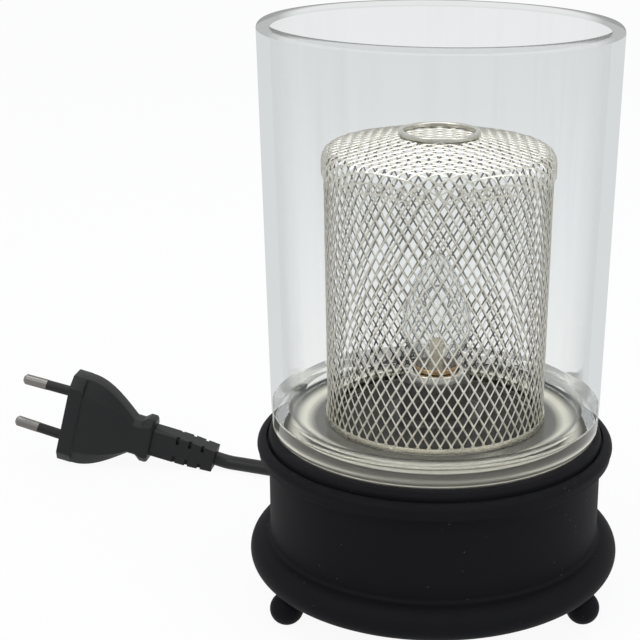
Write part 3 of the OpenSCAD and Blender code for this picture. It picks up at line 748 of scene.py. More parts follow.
@dataclass
class Studio:
    """Camera, floor and light; a lamp has its name, place, size and power."""

    eye: Point = (1.0, -449.9, 239.45)
    pitch: float = 18.18
    roll: float = 0.9
    sensor: float = 36.0
    lens: float = 86.84
    shift: Flat = (-0.1876, -0.0114)
    clip: Flat = (0.01, 50.0)
    floor_half: float = 6000.0
    floor_tones: tuple[Colour, Colour] = ((0.86, 0.86, 0.86), (0.8, 0.8, 0.8))
    floor_cloud: Flat = (3.0, 0.04)
    floor_rough: float = 0.9
    floor_glow: float = 0.93
    around: tuple[Colour, float] = ((0.9, 0.93, 1.0), 0.55)
    lamp_aim: Point = (0.0, 0.0, 90.0)
    lamps: tuple[tuple[str, Point, float, float], ...] = (
        ("key_lamp", (-900.0, -900.0, 1300.0), 900.0, 8.0),
        ("fill_lamp", (1100.0, -700.0, 800.0), 900.0, 5.0),
        ("top_lamp", (0.0, 150.0, 1500.0), 1100.0, 6.0),
    )

    def build_camera(self) -> None:
        """Puts the camera where the photo was taken."""
        lens = bpy.data.cameras.new("camera")
        lens.sensor_width = self.sensor
        lens.lens = self.lens
        lens.shift_x, lens.shift_y = self.shift
        lens.clip_start, lens.clip_end = self.clip
        camera = linked("camera", lens)
        turn = Matrix.Rotation(math.radians(90 - self.pitch), 4, "X")
        twist = Matrix.Rotation(math.radians(self.roll), 4, "Z")
        camera.matrix_world = Matrix.Translation(Vector(self.eye) * MM) @ turn @ twist
        bpy.context.scene.camera = camera

    def build_light(self) -> None:
        """Hangs the lamps and sets a white surround."""
        for name, spot, size, power in self.lamps:
            lamp = bpy.data.lights.new(name, "AREA")
            lamp.shape = "DISK"
            lamp.size = size * MM
            lamp.energy = power
            back = (Vector(spot) - Vector(self.lamp_aim)).normalized()
            turn = back.to_track_quat("Z", "Y").to_matrix().to_4x4()
            linked(name, lamp).matrix_world = Matrix.Translation(Vector(spot) * MM) @ turn
        world = bpy.data.worlds.new("studio")
        world.use_nodes = True
        graph = Graph(world.node_tree)
        graph.tree.nodes.clear()
        skies = [
            graph.node("ShaderNodeBackground", inputs={"Color": (*colour, 1.0), "Strength": strength})
            for colour, strength in (self.around, (WHITE, 1.0))
        ]
        graph.node("ShaderNodeOutputWorld", inputs={"Surface": graph.blended(graph.seen(), *skies)})
        bpy.context.scene.world = world

    def build_floor(self) -> None:
        """Lays a pale floor that keeps a soft shadow."""
        bm = bmesh.new()
        bmesh.ops.create_grid(bm, x_segments=2, y_segments=2, size=self.floor_half * MM)
        floor = meshed("floor", bm)
        shade = Shade("floor_white")
        tone = shade.mixed(shade.noise(self.floor_cloud[0]) * self.floor_cloud[1], *self.floor_tones)
        matte = shade.principled({"Base Color": tone, "Roughness": self.floor_rough})
        glow = shade.node("ShaderNodeEmission", inputs={"Color": (*WHITE, 1.0), "Strength": 1.0})
        floor.data.materials.append(shade.finish(shade.blended(shade.seen() * self.floor_glow, matte, glow)))


@dataclass
class MainsLead:
    """The cord outside the base, its coil and where its plug lies."""

    cord_d: float = 5.4
    cord_round: int = 4
    exit_turn: float = 108.0
    boot_tip: float = 80.1
    exit_z: float = 14.8
    coil_pos: Flat = (12.0, 114.0)
    coil_mid: float = 64.0
    coil_gap: float = 0.5
    layer_turns: float = 3.125
    climb_turns: float = 0.5
    coil_low: float = 3.8
    start_turn: float = 180.0
    ring_steps: int = 48
    lead_steps: tuple[Point, ...] = ((-2.9, 10.4, -0.9), (-3.9, 15.4, -2.7), (-4.4, 20.9, -4.4))
    tail_steps: tuple[Point, ...] = (
        (-12.6, 0.02, -0.3), (-21.6, 0.2, -0.7), (-30.6, 0.6, -1.0), (-39.6, 1.4, -1.0), (-48.6, 2.6, -1.0),
        (-57.6, 4.4, -1.0), (-65.6, 6.6, -1.0), (-72.6, 9.0, -1.0), (-78.1, 10.9, -1.0),
    )
    plug_end: Point = (-82.9, 86.18, 4.3)
    plug_tilt: float = 14.6
    plug_yaw: float = 6.0

    def coil_point(self, t: float) -> Point:
        """A point of the coil's middle line.

        Args:
            t: Turns from the coil's start.

        Returns:
            The point in millimetres.
        """
        pitch = self.cord_d + self.coil_gap
        outer = self.coil_mid / 2 + pitch * self.layer_turns / 2
        inner = outer - pitch * self.layer_turns
        second = self.layer_turns + self.climb_turns
        high = self.coil_low + pitch
        radius, height = outer - pitch * t, high
        if t >= second:
            radius, height = inner + pitch * (t - second), self.coil_low
        elif t >= self.layer_turns:
            radius = inner
            height = high - pitch * (1 - math.cos(math.pi * (t - self.layer_turns) / self.climb_turns)) / 2
        a = math.radians(self.start_turn - 360 * t)
        return (self.coil_pos[0] + radius * math.cos(a), self.coil_pos[1] + radius * math.sin(a), height)

    def plug_frame(self) -> Matrix:
        """From the plug's own axes to the table, in millimetres."""
        yaw = Matrix.Rotation(math.radians(180 - self.plug_yaw), 4, "Z")
        return Matrix.Translation(self.plug_end) @ yaw @ Matrix.Rotation(math.radians(-self.plug_tilt), 4, "Y")

    def route(self) -> list[Point]:
        """Lays the cord's middle line.

        Returns:
            Its points from the base to the plug, in millimetres.
        """
        a = math.radians(self.exit_turn)
        out = Vector((math.cos(a), math.sin(a), 0))
        start = out * self.boot_tip + Vector((0, 0, self.exit_z))
        turns = 2 * self.layer_turns + self.climb_turns
        step = Vector((0, self.cord_d, 0))
        begin = Vector(self.coil_point(0)) - step
        finish = Vector(self.coil_point(turns)) - step.yxz
        bend = [start + Vector(p) for p in self.lead_steps]
        lead = [start, start + out * self.cord_d, *bend, begin - step, begin]
        count = round(turns * self.ring_steps)
        coil = [self.coil_point(turns * i / count) for i in range(count + 1)]
        into = Vector(self.plug_end) - self.plug_frame().to_3x3() @ Vector((self.cord_d, 0, 0))
        lie = [finish + Vector(p) for p in self.tail_steps]
        tail = [finish, finish - step.yxz, *lie, into, self.plug_end]
        return smooth_path(lead) + coil + smooth_path(tail)

    def build_cord(self) -> bpy.types.Object:
        """Makes the cord as one open curve.

        Returns:
            The cord.
        """
        curve = poly_curve("mains_cord", self.route())
        curve.bevel_depth = self.cord_d / 2 * MM
        curve.bevel_resolution = self.cord_round
        curve.use_fill_caps = True
        curve.splines[0].use_smooth = True
        curve.materials.append(CORD_SHEATH.material())
        cord = linked("mains_cord", curve)
        return settle(cord, Body.BASE, "cord_sheath", "cord_lead", "cord_coil", "cord_tail")

    def declare(self) -> None:
        """Works out the cord's middle line in metres and keeps nothing.
        """
        line = [tuple(Vector(p) * MM) for p in self.route()]


@dataclass
class FlatPlug:
    """The flat two-pin plug: body with a panel between bevels."""

    relief_l: float = 24.6
    body_l: float = 33.6
    face_l: float = 5.7
    face_step: Flat = (0.4, 0.6)
    width: float = 35.2
    thick: float = 13.6
    thin: float = 10.6
    neck_w: float = 14.2
    neck_l: float = 4.0
    neck_bend: float = 1.0
    level_l: float = 4.0
    collar_w: float = 17.8
    collar_l: float = 4.0
    collar_edge: Point = (0.8, 0.6, 0.5)
    swell_steps: int = 12
    panel_start: float = 5.6
    panel_collar: float = 6.2
    panel_neck: float = 5.4
    panel_end: float = 11.4
    panel_face: float = 13.4
    panel_bow: float = 0.8
    edge_share: float = 0.52
    blunt_share: float = 0.8
    blunt_w: float = 1.0
    round_r: float = 0.7
    round_angle: float = 24.0
    round_steps: int = 3

    def stations(self) -> list[tuple[float, float, float, float]]:
        """Lists the body's sections.

        Returns:
            Length, half width, half thickness and half panel of each.
        """
        collar, face = self.relief_l + self.collar_l, self.relief_l + self.body_l
        neck, shoulder = collar + self.neck_l, face - self.face_l
        thin, full, slope = self.thin / 2, self.thick / 2, self.thick / 2 - self.face_step[1]
        collar_half, neck_half, wide = self.collar_w / 2, self.neck_w / 2, self.width / 2
        edge_l, edge_w, edge_t = self.collar_edge
        rows = [
            (self.relief_l, collar_half - edge_w, thin - edge_t, self.panel_start),
            (self.relief_l + edge_l, collar_half, thin, self.panel_collar),
            (collar - self.neck_bend, collar_half, thin, self.panel_collar),
            (collar + self.neck_bend, neck_half, thin, self.panel_neck),
            (neck, neck_half, thin, self.panel_neck),
        ]
        run = shoulder - neck
        for u in (i / self.swell_steps for i in range(1, self.swell_steps + 1)):
            swell = math.sin(math.pi / 2 * u)
            lift = min(1.0, u * run / (run - self.level_l))
            panel = self.panel_neck + (self.panel_end - self.panel_neck) * swell ** self.panel_bow
            rows.append((neck + run * u, neck_half + (wide - neck_half) * swell, thin + (slope - thin) * lift, panel))
        return rows + [(x, wide, full, self.panel_face) for x in (shoulder + self.face_step[0], face)]

    def build_body(self, place: Matrix) -> bpy.types.Object:
        """Lofts the body.

        Args:
            place: From the plug's own axes to the table, in millimetres.

        Returns:
            The body.
        """
        bm = bmesh.new()
        rings = []
        for x, half, deep, panel in self.stations():
            edge = deep * (self.edge_share if half - panel > self.blunt_w else self.blunt_share)
            quarter = [(deep, panel), (edge, half)]
            section = [
                (sy * y, sz * z)
                for sy, sz in ((1, 1), (-1, 1), (-1, -1), (1, -1))
                for y, z in (quarter if sy == sz else quarter[::-1])
            ]
            rings.append([bm.verts.new(place @ Vector((x, y, z)) * MM) for y, z in section])
        bridged(bm, rings, closed=False)
        sharp = [e for e in bm.edges if e.calc_face_angle(0.0) > math.radians(self.round_angle)]
        bmesh.ops.bevel(
            bm, geom=sharp, offset=self.round_r * MM, segments=self.round_steps, profile=0.5, affect="EDGES",
            clamp_overlap=True,
        )
        return settle(placed("flat_plug", bm, PLUG_RUBBER), Body.BASE, "black_moulding", "plug_body")


@dataclass
class TurnedBase:
    """The turned black base with its seat, cup and ball feet."""

    foot_h: float = 9.5
    bead_r: float = 5.3
    bead_out: float = 58.4
    bead_wrap: float = 76.0
    waist_r: float = 52.0
    fillet_r: float = 1.4
    step_h: float = 1.4
    cove_r: float = 3.1
    cove_z: float = 44.7
    lip_r: float = 55.6
    lip_step: float = 0.5
    lip_foot: float = 0.6
    lip_round: float = 2.2
    lip_land: float = 0.6
    groove_w: float = 0.8
    shell_top: float = 52.4
    recess_h: float = 1.4
    ledge_w: float = 6.6
    shell_wall: float = 3.0
    ring_t: float = 5.2
    ring_slope: float = 2.0
    cover_t: float = 2.0
    cover_edge: float = 49.45
    plate_t: float = 3.6
    plate_round: float = 1.5
    cup_r: float = 30.8
    cup_wall: float = 2.0
    cup_h: float = 3.4
    cup_edge: float = 0.8
    flange_w: float = 2.4
    flange_t: float = 2.0
    well_gap: float = 0.15
    cup_hole: float = 11.95
    foot_turns: tuple[tuple[str, float], ...] = (("left", 212.0), ("right", 332.0), ("rear", 92.0))
    foot_ring: float = 52.6
    foot_sides: int = 64
    ball_r: float = 5.2
    foot_neck: float = 3.0
    foot_flat: float = 0.5

    @property
    def plate_r(self) -> float:
        """Radius of the seat plate."""
        return self.lip_r - self.lip_round - self.lip_land - self.groove_w

    @property
    def ledge_z(self) -> float:
        """Height of the ledge under the seat plate."""
        return self.shell_top - self.recess_h

    def _shell_profile(self) -> list[Flat]:
        """Draws the shell.

        Returns:
            Its closed half outline.
        """
        bead_in = self.bead_out - self.bead_r
        bead_top = self.foot_h + 2 * self.bead_r
        lip_z = self.cove_z + self.cove_r
        ledge_in, wall_in = self.plate_r - self.ledge_w, self.waist_r - self.shell_wall
        ring_in, cover_top = self.waist_r - self.ring_t, self.foot_h + self.cover_t
        recess = self.plate_r + self.groove_w
        return (
            arc((bead_in, self.foot_h + self.bead_r), self.bead_r, -90, self.bead_wrap, 28)
            + arc((self.waist_r + self.fillet_r, bead_top + self.step_h), self.fillet_r, 270, 180, 10)
            + arc((self.waist_r + self.cove_r, self.cove_z), self.cove_r, 180, 90, 14)
            + [(self.lip_r - self.lip_step, lip_z + self.lip_foot)]
            + arc((self.lip_r - self.lip_round, self.shell_top - self.lip_round), self.lip_round, 0, 90, 14)
            + [(recess, self.shell_top), (recess, self.ledge_z), (ledge_in, self.ledge_z), (ledge_in, lip_z)]
            + [(wall_in, lip_z - wall_in + ledge_in), (wall_in, bead_top + self.ring_slope), (ring_in, bead_top)]
            + [(ring_in, cover_top), (self.cover_edge, cover_top), (self.cover_edge, self.foot_h)]
        )

    def build(self) -> None:
        """Builds the shell, the seat, the cup and the feet."""
        seat_z = self.ledge_z + self.plate_t
        flange_r, flange_z, inside = self.cup_r + self.flange_w, seat_z - self.flange_t, self.cup_r - self.cup_wall
        well, cup_top = flange_r + self.well_gap, seat_z + self.cup_h
        cup_under = cup_top - self.cup_wall
        plate = (
            [(inside, self.ledge_z), (self.plate_r, self.ledge_z)]
            + arc((self.plate_r - self.plate_round, seat_z - self.plate_round), self.plate_round, 0, 90)
            + [(well, seat_z), (well, flange_z), (inside, flange_z)]
        )
        cup = (
            [(inside, flange_z), (flange_r, flange_z), (flange_r, seat_z), (self.cup_r, seat_z)]
            + arc((self.cup_r - self.cup_edge, cup_top - self.cup_edge), self.cup_edge, 0, 90, 6)
            + [(self.cup_hole, cup_top), (self.cup_hole, cup_under), (inside, cup_under)]
        )
        for name, profile, finish, sides, node in (
            ("turned_shell", self._shell_profile(), BLACK_PAINT, FINE_SIDES, "base_shell"),
            ("seat_disc", plate, BLACK_PAINT, FINE_SIDES, "seat_plate"),
            ("lamp_cup_disc", cup, CUP_PAINT, TURNED_SIDES, "lamp_cup"),
        ):
            settle(placed(name, turned(profile, sides), finish), Body.BASE, "black_paint", node)
        self._build_feet()
        dress(BLACK_PAINT, "bottom_cover")
        dress(ZINC, "foot_studs", "clamp_rod", "rod_washer", "rod_nut", "clamp_screws")

    def _build_feet(self) -> None:
        """Turns the ball feet."""
        middle = self.ball_r - self.foot_flat
        low = math.degrees(math.asin(-middle / self.ball_r))
        high = math.degrees(math.acos(self.foot_neck / self.ball_r))
        ball = arc((0.0, middle), self.ball_r, low, high, 24)
        profile = [(0.0, 0.0), *ball, (self.foot_neck, self.foot_h), (0.0, self.foot_h)]
        for side, turn in self.foot_turns:
            a = math.radians(turn)
            shift = (self.foot_ring * math.cos(a), self.foot_ring * math.sin(a))
            ball_foot = placed("ball_" + side, turned(profile, self.foot_sides, shift), BLACK_PAINT)
            settle(ball_foot, Body.BASE, "black_paint", "foot_" + side)


@dataclass
class Lampholder:
    """The lampholder in the cup and what is under it."""

    cup_top: float = 58.0
    low_z: float = 38.0
    top_z: float = 70.9
    body_r: float = 11.8
    flange_r: float = 15.0
    flange_t: float = 2.2
    flange_round: float = 1.0
    bore_r: float = 8.45
    thread_r: float = 8.3
    thread_wall: float = 1.0
    collar_wall: float = 2.4
    collar_draft: float = 0.8
    lip_w: float = 0.3
    lip_t: float = 2.6
    lip_round: float = 0.4
    shell_z: float = 46.6

    def build(self) -> None:
        """Builds the rim that shows and dresses the rest."""
        collar_r, flange_z = self.thread_r + self.collar_wall, self.cup_top + self.flange_t
        body = (
            [(self.bore_r, self.low_z), (self.body_r, self.low_z), (self.body_r, self.cup_top)]
            + [(self.flange_r, self.cup_top)]
            + arc((self.flange_r - self.flange_round, flange_z - self.flange_round), self.flange_round, 0, 90, 6)
            + [(collar_r + self.collar_draft, flange_z), (collar_r, self.top_z), (self.bore_r, self.top_z)]
        )
        collar = placed("holder_collar", turned(body, SMALL_SIDES), HOLDER_RESIN)
        settle(collar, Body.BASE, "phenolic", "holder_body")
        lip_r, lip_z, inner = self.thread_r + self.lip_w, self.top_z + self.lip_t, self.thread_r - self.thread_wall
        shell = (
            [(inner, self.shell_z), (self.thread_r, self.shell_z), (self.thread_r, self.top_z)]
            + [(lip_r, self.top_z)]
            + arc((lip_r - self.lip_round, lip_z - self.lip_round), self.lip_round, 0, 90)
            + [(inner, lip_z)]
        )
        rim = placed("screw_shell", turned(shell, SMALL_SIDES), SHELL_NICKEL)
        settle(rim, Body.BASE, "nickel_plate", "thread_shell")
        dress(BLACK_RESIN, "holder_cap")
        dress(PALE_RESIN, "contact_block")
        dress(CONTACT_BRASS, "centre_contact")
        dress(BROWN_SLEEVE, "live_wire")
        dress(BLUE_SLEEVE, "neutral_wire")


@dataclass
class ScrewBulb:
    """The small clear bulb with its screw cap."""

    cap_r: float = 6.9
    cap_low: float = 55.2
    cap_top: float = 75.2
    cap_wall: float = 0.4
    cap_floor: float = 1.2
    cap_hole: float = 2.2
    cap_bevel: float = 0.7
    cap_bead: tuple[Flat, ...] = ((-0.2, -2.0), (0.0, -1.6), (0.25, -0.9), (0.25, -0.3), (0.0, 0.0))
    cap_sides: int = 72
    thread_pitch: float = 2.8
    thread_deep: float = 0.5
    thread_ends: Flat = (0.8, 2.4)
    thread_step: float = 0.2
    neck_r: float = 6.35
    neck_low: float = 65.7
    neck_steps: int = 16
    belly_r: float = 11.0
    belly_z: float = 86.6
    top_z: float = 111.2
    top_steps: int = 28
    top_bow: Flat = (1.7, 0.74)
    wall: float = 0.6
    stem_r: float = 2.1
    stem_sides: int = 48
    flare_edge: float = 1.0
    flare_h: float = 7.5
    stem_top: float = 83.6
    lead_top: float = 97.6
    lead_spread: float = 4.2
    lead_foot: tuple[Flat, ...] = ((0.9, -0.6), (1.1, 1.2), (1.6, 3.4))
    lead_wire: float = 0.22
    lead_sides: int = 8
    coil_in: Flat = (0.35, 0.4)
    coil_sag: float = 3.0
    coil_turns: int = 22
    coil_steps: int = 10
    coil_r: float = 0.42
    coil_wire: float = 0.1
    coil_sides: int = 5

    def build(self) -> None:
        """Builds the cap, the glass and what is in it."""
        self._build_cap()
        skin, lining = self._skin(0.0), self._skin(self.wall)
        glass = placed("drop_bulb", turned(skin + lining[::-1], SMALL_SIDES), BULB_CLEAR)
        settle(glass, Body.BULB, "bulb_glass", "bulb_glass")
        foot_z = self.neck_low - self.flare_edge
        stem = (
            [(0.0, foot_z), (self.neck_r, foot_z), (self.neck_r, self.neck_low)]
            + [(self.neck_r - self.flare_edge, self.neck_low), (self.stem_r, self.neck_low + self.flare_h)]
            + arc((0.0, self.stem_top - self.stem_r), self.stem_r, 0, 90)[:-1]
            + [(0.0, self.stem_top)]
        )
        inside = placed("glass_stem", turned(stem, self.stem_sides), STEM_GLASS)
        settle(inside, Body.BULB, "bulb_glass", "bulb_stem")
        self._build_wires()
        dress(BLACK_RESIN, "bulb_insulator")
        dress(SOLDER, "bulb_contact")

    def _skin(self, wall: float) -> list[Flat]:
        """Draws the bulb from its neck to its top.

        Args:
            wall: How far the line is drawn in.

        Returns:
            Half the outline.
        """
        neck, belly = self.neck_r - wall, self.belly_r - wall
        swell, rise = self.belly_z - self.cap_top, self.top_z - self.belly_z - wall
        line = [(neck, self.neck_low)]
        for v in (i / self.neck_steps for i in range(self.neck_steps + 1)):
            line.append((neck + (belly - neck) * (1 - math.cos(math.pi * v)) / 2, self.cap_top + swell * v))
        for i in range(1, self.top_steps):
            u = math.sin(math.pi / 2 * i / self.top_steps)
            line.append((belly * (1 - u ** self.top_bow[0]) ** self.top_bow[1], self.belly_z + rise * u))
        return [*line, (0.0, self.belly_z + rise)]

    def _build_cap(self) -> None:
        """Rolls the cap with its round thread."""
        first, last = self.cap_low + self.thread_ends[0], self.cap_top - self.thread_ends[1]
        count = round((last - first) / self.thread_step) + 1
        bead = [(self.cap_r + out, self.cap_top + up, False) for out, up in (*self.cap_bead, (-self.cap_wall, 0.0))]
        hole, floor = self.cap_r - self.cap_hole, self.cap_low + self.cap_floor
        rows = [
            (hole, self.cap_low, False), (self.cap_r - self.cap_bevel, self.cap_low, False),
            *((self.cap_r, first + self.thread_step * i, True) for i in range(count)), *bead,
            (self.cap_r - self.thread_deep - self.cap_wall, floor, False), (hole, floor, False),
        ]
        bm = bmesh.new()
        rings = []
        for radius, height, threaded in rows:
            ring = []
            for a in (2 * math.pi * k / self.cap_sides for k in range(self.cap_sides)):
                wave = math.cos(2 * math.pi * height / self.thread_pitch - a) if threaded else 1.0
                r = radius - self.thread_deep * (1 - wave) / 2
                ring.append(bm.verts.new(Vector((r * math.cos(a), r * math.sin(a), height)) * MM))
            rings.append(ring)
        bridged(bm, rings, closed=True)
        settle(placed("screw_cap", bm, CAP_BRASS), Body.BULB, "brass", "bulb_cap")

    def _build_wires(self) -> None:
        """Bends the leads and winds the filament."""
        leads = bmesh.new()
        for side in (-1, 1):
            foot = [(side * out, 0.0, self.stem_top + up) for out, up in self.lead_foot]
            path = smooth_path([*foot, (side * self.lead_spread, 0.0, self.lead_top)])
            swept(leads, path, self.lead_wire, self.lead_sides)
        settle(placed("lead_wires", leads, LAMP_WIRE), Body.BULB, "lamp_wire", "filament_leads")
        half, low = self.lead_spread - self.coil_in[0], self.lead_top - self.coil_in[1]
        steps = self.coil_turns * self.coil_steps
        path = []
        for i in range(steps + 1):
            u, a = 2 * i / steps - 1, 2 * math.pi * i / self.coil_steps
            height = low + self.coil_sag * (1 - u * u) + self.coil_r * math.sin(a)
            path.append((u * half, self.coil_r * math.cos(a), height))
        coil = bmesh.new()
        swept(coil, path, self.coil_wire, self.coil_sides)
        settle(placed("wound_filament", coil, LAMP_WIRE), Body.BULB, "lamp_wire", "filament")


@dataclass
class GlassJar:
    """The clear jar with its thick heel and the hole in its floor."""

    rim_r: float = 53.3
    heel_r: float = 50.9
    wall: float = 3.9
    seat_z: float = 54.6
    floor_z: float = 58.6
    rim_z: float = 180.4
    heel_round: float = 3.5
    corner: float = 8.0
    hole_r: float = 31.8
    hole_round: float = 0.7
    air_gap: float = 0.04
    ring_in: float = 38.0
    recess: float = 0.4
    heel_share: float = 0.55
    facing_down: float = -0.5

    @property
    def lip_z(self) -> float:
        """Height where the rim's rounding starts."""
        return self.rim_z - self.wall / 2

    @property
    def heel_line(self) -> float:
        """Height up to which the glass is thick."""
        return self.floor_z + self.corner * self.heel_share

    def _zone(self, face: bpy.types.MeshPolygon) -> Zone:
        """Tells what a face of the jar is.

        Args:
            face: The face, in metres.

        Returns:
            Its zone.
        """
        radius, height = math.hypot(*face.center.xy) / MM, face.center.z / MM
        under = face.normal.z < self.facing_down and radius < self.heel_r - self.heel_round
        if under or radius < self.hole_r + self.hole_round:
            return Zone.UNDERSIDE
        if height < self.heel_line:
            return Zone.HEEL
        if height > self.lip_z:
            return Zone.RIM
        return Zone.LINING if radius < self.heel_r else Zone.WALL

    def build(self) -> None:
        """Builds the jar; its underside and the hole's wall are matt and carry painted light."""
        ring_z = self.seat_z + self.air_gap
        under, heel_z = ring_z + self.recess, self.seat_z + self.heel_round
        taper = (self.rim_r - self.heel_r) / (self.lip_z - heel_z)
        hole = self.hole_r + self.hole_round
        profile = (
            arc((hole, under + self.hole_round), self.hole_round, 180, 270, 6)
            + [(self.ring_in - self.recess, under), (self.ring_in, ring_z)]
            + arc((self.heel_r - self.heel_round, ring_z + self.heel_round), self.heel_round, -90, 0, 16)
            + [(self.heel_r + taper * (self.heel_line - heel_z), self.heel_line)]
            + arc((self.rim_r - self.wall / 2, self.lip_z), self.wall / 2, 0, 180, 20)
            + arc((self.heel_r - self.wall - self.corner, self.floor_z + self.corner), self.corner, 0, -90, 20)
            + arc((hole, self.floor_z - self.hole_round), self.hole_round, 90, 180, 6)
        )
        jar = placed("wax_jar", turned(profile, FINE_SIDES), JAR_FINISHES[Zone.WALL])
        for zone in list(Zone)[1:]:
            jar.data.materials.append(JAR_FINISHES[zone].material())
        for face in jar.data.polygons:
            face.material_index = self._zone(face)
        settle(jar, Body.GLASS, "jar_glass", "glass_jar")


@dataclass
class ExpandedSheet:
    """A lattice of expanded metal laid on a form by Geometry Nodes."""

    name: str
    wrap: Wrap
    cell_w: float
    cell_h: float
    columns: int
    rows: int
    form: list[Flat]
    strand: float = 0.62
    thick: float = 0.5
    tilt: float = 0.12
    weld: float = 0.06
    reach: Flat = (0.0, 1000.0)

    def _cross(self) -> bpy.types.Object:
        """Makes one bond with its four half strands.

        Returns:
            A helper object.
        """
        bm = bmesh.new()
        w, h, s, t, d = (v * MM for v in (self.cell_w, self.cell_h, self.strand, self.thick / 2, self.tilt))
        long = math.hypot(w, h) / 2
        raised, slant = Vector((0, 0, t)), Vector((0, 0, d))
        top, bottom = bm.verts.new(raised), bm.verts.new(-raised)
        up, down = bm.verts.new((0, s * long / w, d)), bm.verts.new((0, -s * long / w, -d))
        right, left = bm.verts.new((s * long / h, 0, 0)), bm.verts.new((-s * long / h, 0, 0))
        corners = {(1, 1): (up, right), (-1, 1): (up, left), (1, -1): (right, down), (-1, -1): (left, down)}
        for (sx, sy), (high, low) in corners.items():
            tip = Vector((sx * w / 4, sy * h / 4, 0))
            side = Vector((-sx * sy * h / 2, w / 2, 0)) / long * s / 2
            high_end, low_end = bm.verts.new(tip + side + slant), bm.verts.new(tip - side - slant)
            top_end, bottom_end = bm.verts.new(tip + raised), bm.verts.new(tip - raised)
            starts, ends = (high, top, low, bottom), (high_end, top_end, low_end, bottom_end)
            for k in range(4):
                n = (k + 1) % 4
                loop = (starts[k], ends[k], ends[n], starts[n])
                bm.faces.new(loop if sx * sy > 0 else (loop[0], *loop[:0:-1]))
        bmesh.ops.recalc_face_normals(bm, faces=bm.faces[:])
        return meshed(self.name + "_bond", bm)

    def _tree(self) -> bpy.types.NodeTree:
        """Builds the node tree: grid of bonds, laid on the form, welded.

        Returns:
            The tree.
        """
        tree = bpy.data.node_groups.new(self.name + "_lattice", "GeometryNodeTree")
        face = tree.interface
        for label, kind in (
            ("Geometry", "Geometry"), ("Bond", "Object"), ("Form", "Object"), ("Columns", "Int"), ("Rows", "Int"),
            ("Cell Width", "Float"), ("Cell Height", "Float"), ("Inner Reach", "Float"), ("Outer Reach", "Float"),
            ("Metal", "Material"),
        ):
            face.new_socket(label, in_out="INPUT", socket_type="NodeSocket" + kind)
        face.new_socket("Geometry", in_out="OUTPUT", socket_type="NodeSocketGeometry")
        g = Graph(tree)
        given = tree.nodes.new("NodeGroupInput")
        value = {s.name: Val(g, s) for s in given.outputs if s.name}
        width, height, columns, rows = (value[k] for k in ("Cell Width", "Cell Height", "Columns", "Rows"))
        size = {
            "Size X": width * (columns - 1), "Size Y": height * (rows - 1), "Vertices X": columns, "Vertices Y": rows
        }
        both = g.node("GeometryNodeJoinGeometry")
        for shift in (0.0, 0.5):
            grid = g.node("GeometryNodeMeshGrid", inputs=size)
            offset = g.node("ShaderNodeCombineXYZ", inputs={"X": width * shift, "Y": height * shift})
            moved = g.node("GeometryNodeTransform", inputs={"Geometry": grid, "Translation": offset})
            tree.links.new(moved.socket, both.socket.node.inputs[0])
        if self.wrap is Wrap.DOME:
            far = g.length(g.node("GeometryNodeInputPosition"))
            near = far.maths("LESS_THAN", far, value["Inner Reach"])
            past = far.maths("GREATER_THAN", far, value["Outer Reach"])
            cut = {"Geometry": both, "Selection": near + past}
            both = g.node("GeometryNodeDeleteGeometry", {"domain": "POINT"}, cut)
        bond = g.node("GeometryNodeObjectInfo", inputs={"Object": value["Bond"]}, output="Geometry")
        crosses = g.node("GeometryNodeInstanceOnPoints", inputs={"Points": both, "Instance": bond})
        sheet = g.node("GeometryNodeRealizeInstances", inputs={"Geometry": crosses})
        sheet = self._lay(g, sheet, value)
        sheet = g.node("GeometryNodeMergeByDistance", inputs={"Geometry": sheet, "Distance": self.weld * MM})
        done = g.node("GeometryNodeSetMaterial", inputs={"Geometry": sheet, "Material": value["Metal"]})
        g.node("NodeGroupOutput", inputs={0: done})
        return tree

    def _lay(self, g: Graph, sheet: Val, value: dict[str, Val]) -> Val:
        """Lays the flat lattice on the form.

        Args:
            g: The tree.
            sheet: The flat lattice.
            value: The tree's inputs.

        Returns:
            The laid lattice.
        """
        spot = g.node("GeometryNodeInputPosition")
        x, y, z = (g.part(spot, axis) for axis in range(3))
        if self.wrap is Wrap.TUBE:
            turn = x / (value["Columns"] * value["Cell Width"]) * (2 * math.pi)
            run = y + value["Cell Height"] * (value["Rows"] - 1) / 2 + value["Cell Height"] / 4
        else:
            turn = x.maths("ARCTAN2", y, x)
            run = g.length(g.node("ShaderNodeCombineXYZ", inputs={"X": x, "Y": y})) - value["Inner Reach"]
        form = g.node("GeometryNodeObjectInfo", inputs={"Object": value["Form"]}, output="Geometry")
        found = g.node("GeometryNodeSampleCurve", {"mode": "LENGTH"}, {"Curves": form, "Length": run}, "Position")
        tangent = Val(g, found.socket.node.outputs["Tangent"])
        out = z if self.wrap is Wrap.TUBE else z * -1
        radius = g.part(found, 0) + out * g.part(tangent, 2)
        height = g.part(found, 2) - out * g.part(tangent, 0)
        spin = {"X": radius * turn.maths("COSINE", turn), "Y": radius * turn.maths("SINE", turn), "Z": height}
        laid = g.node("ShaderNodeCombineXYZ", inputs=spin)
        return g.node("GeometryNodeSetPosition", inputs={"Geometry": sheet, "Position": laid})

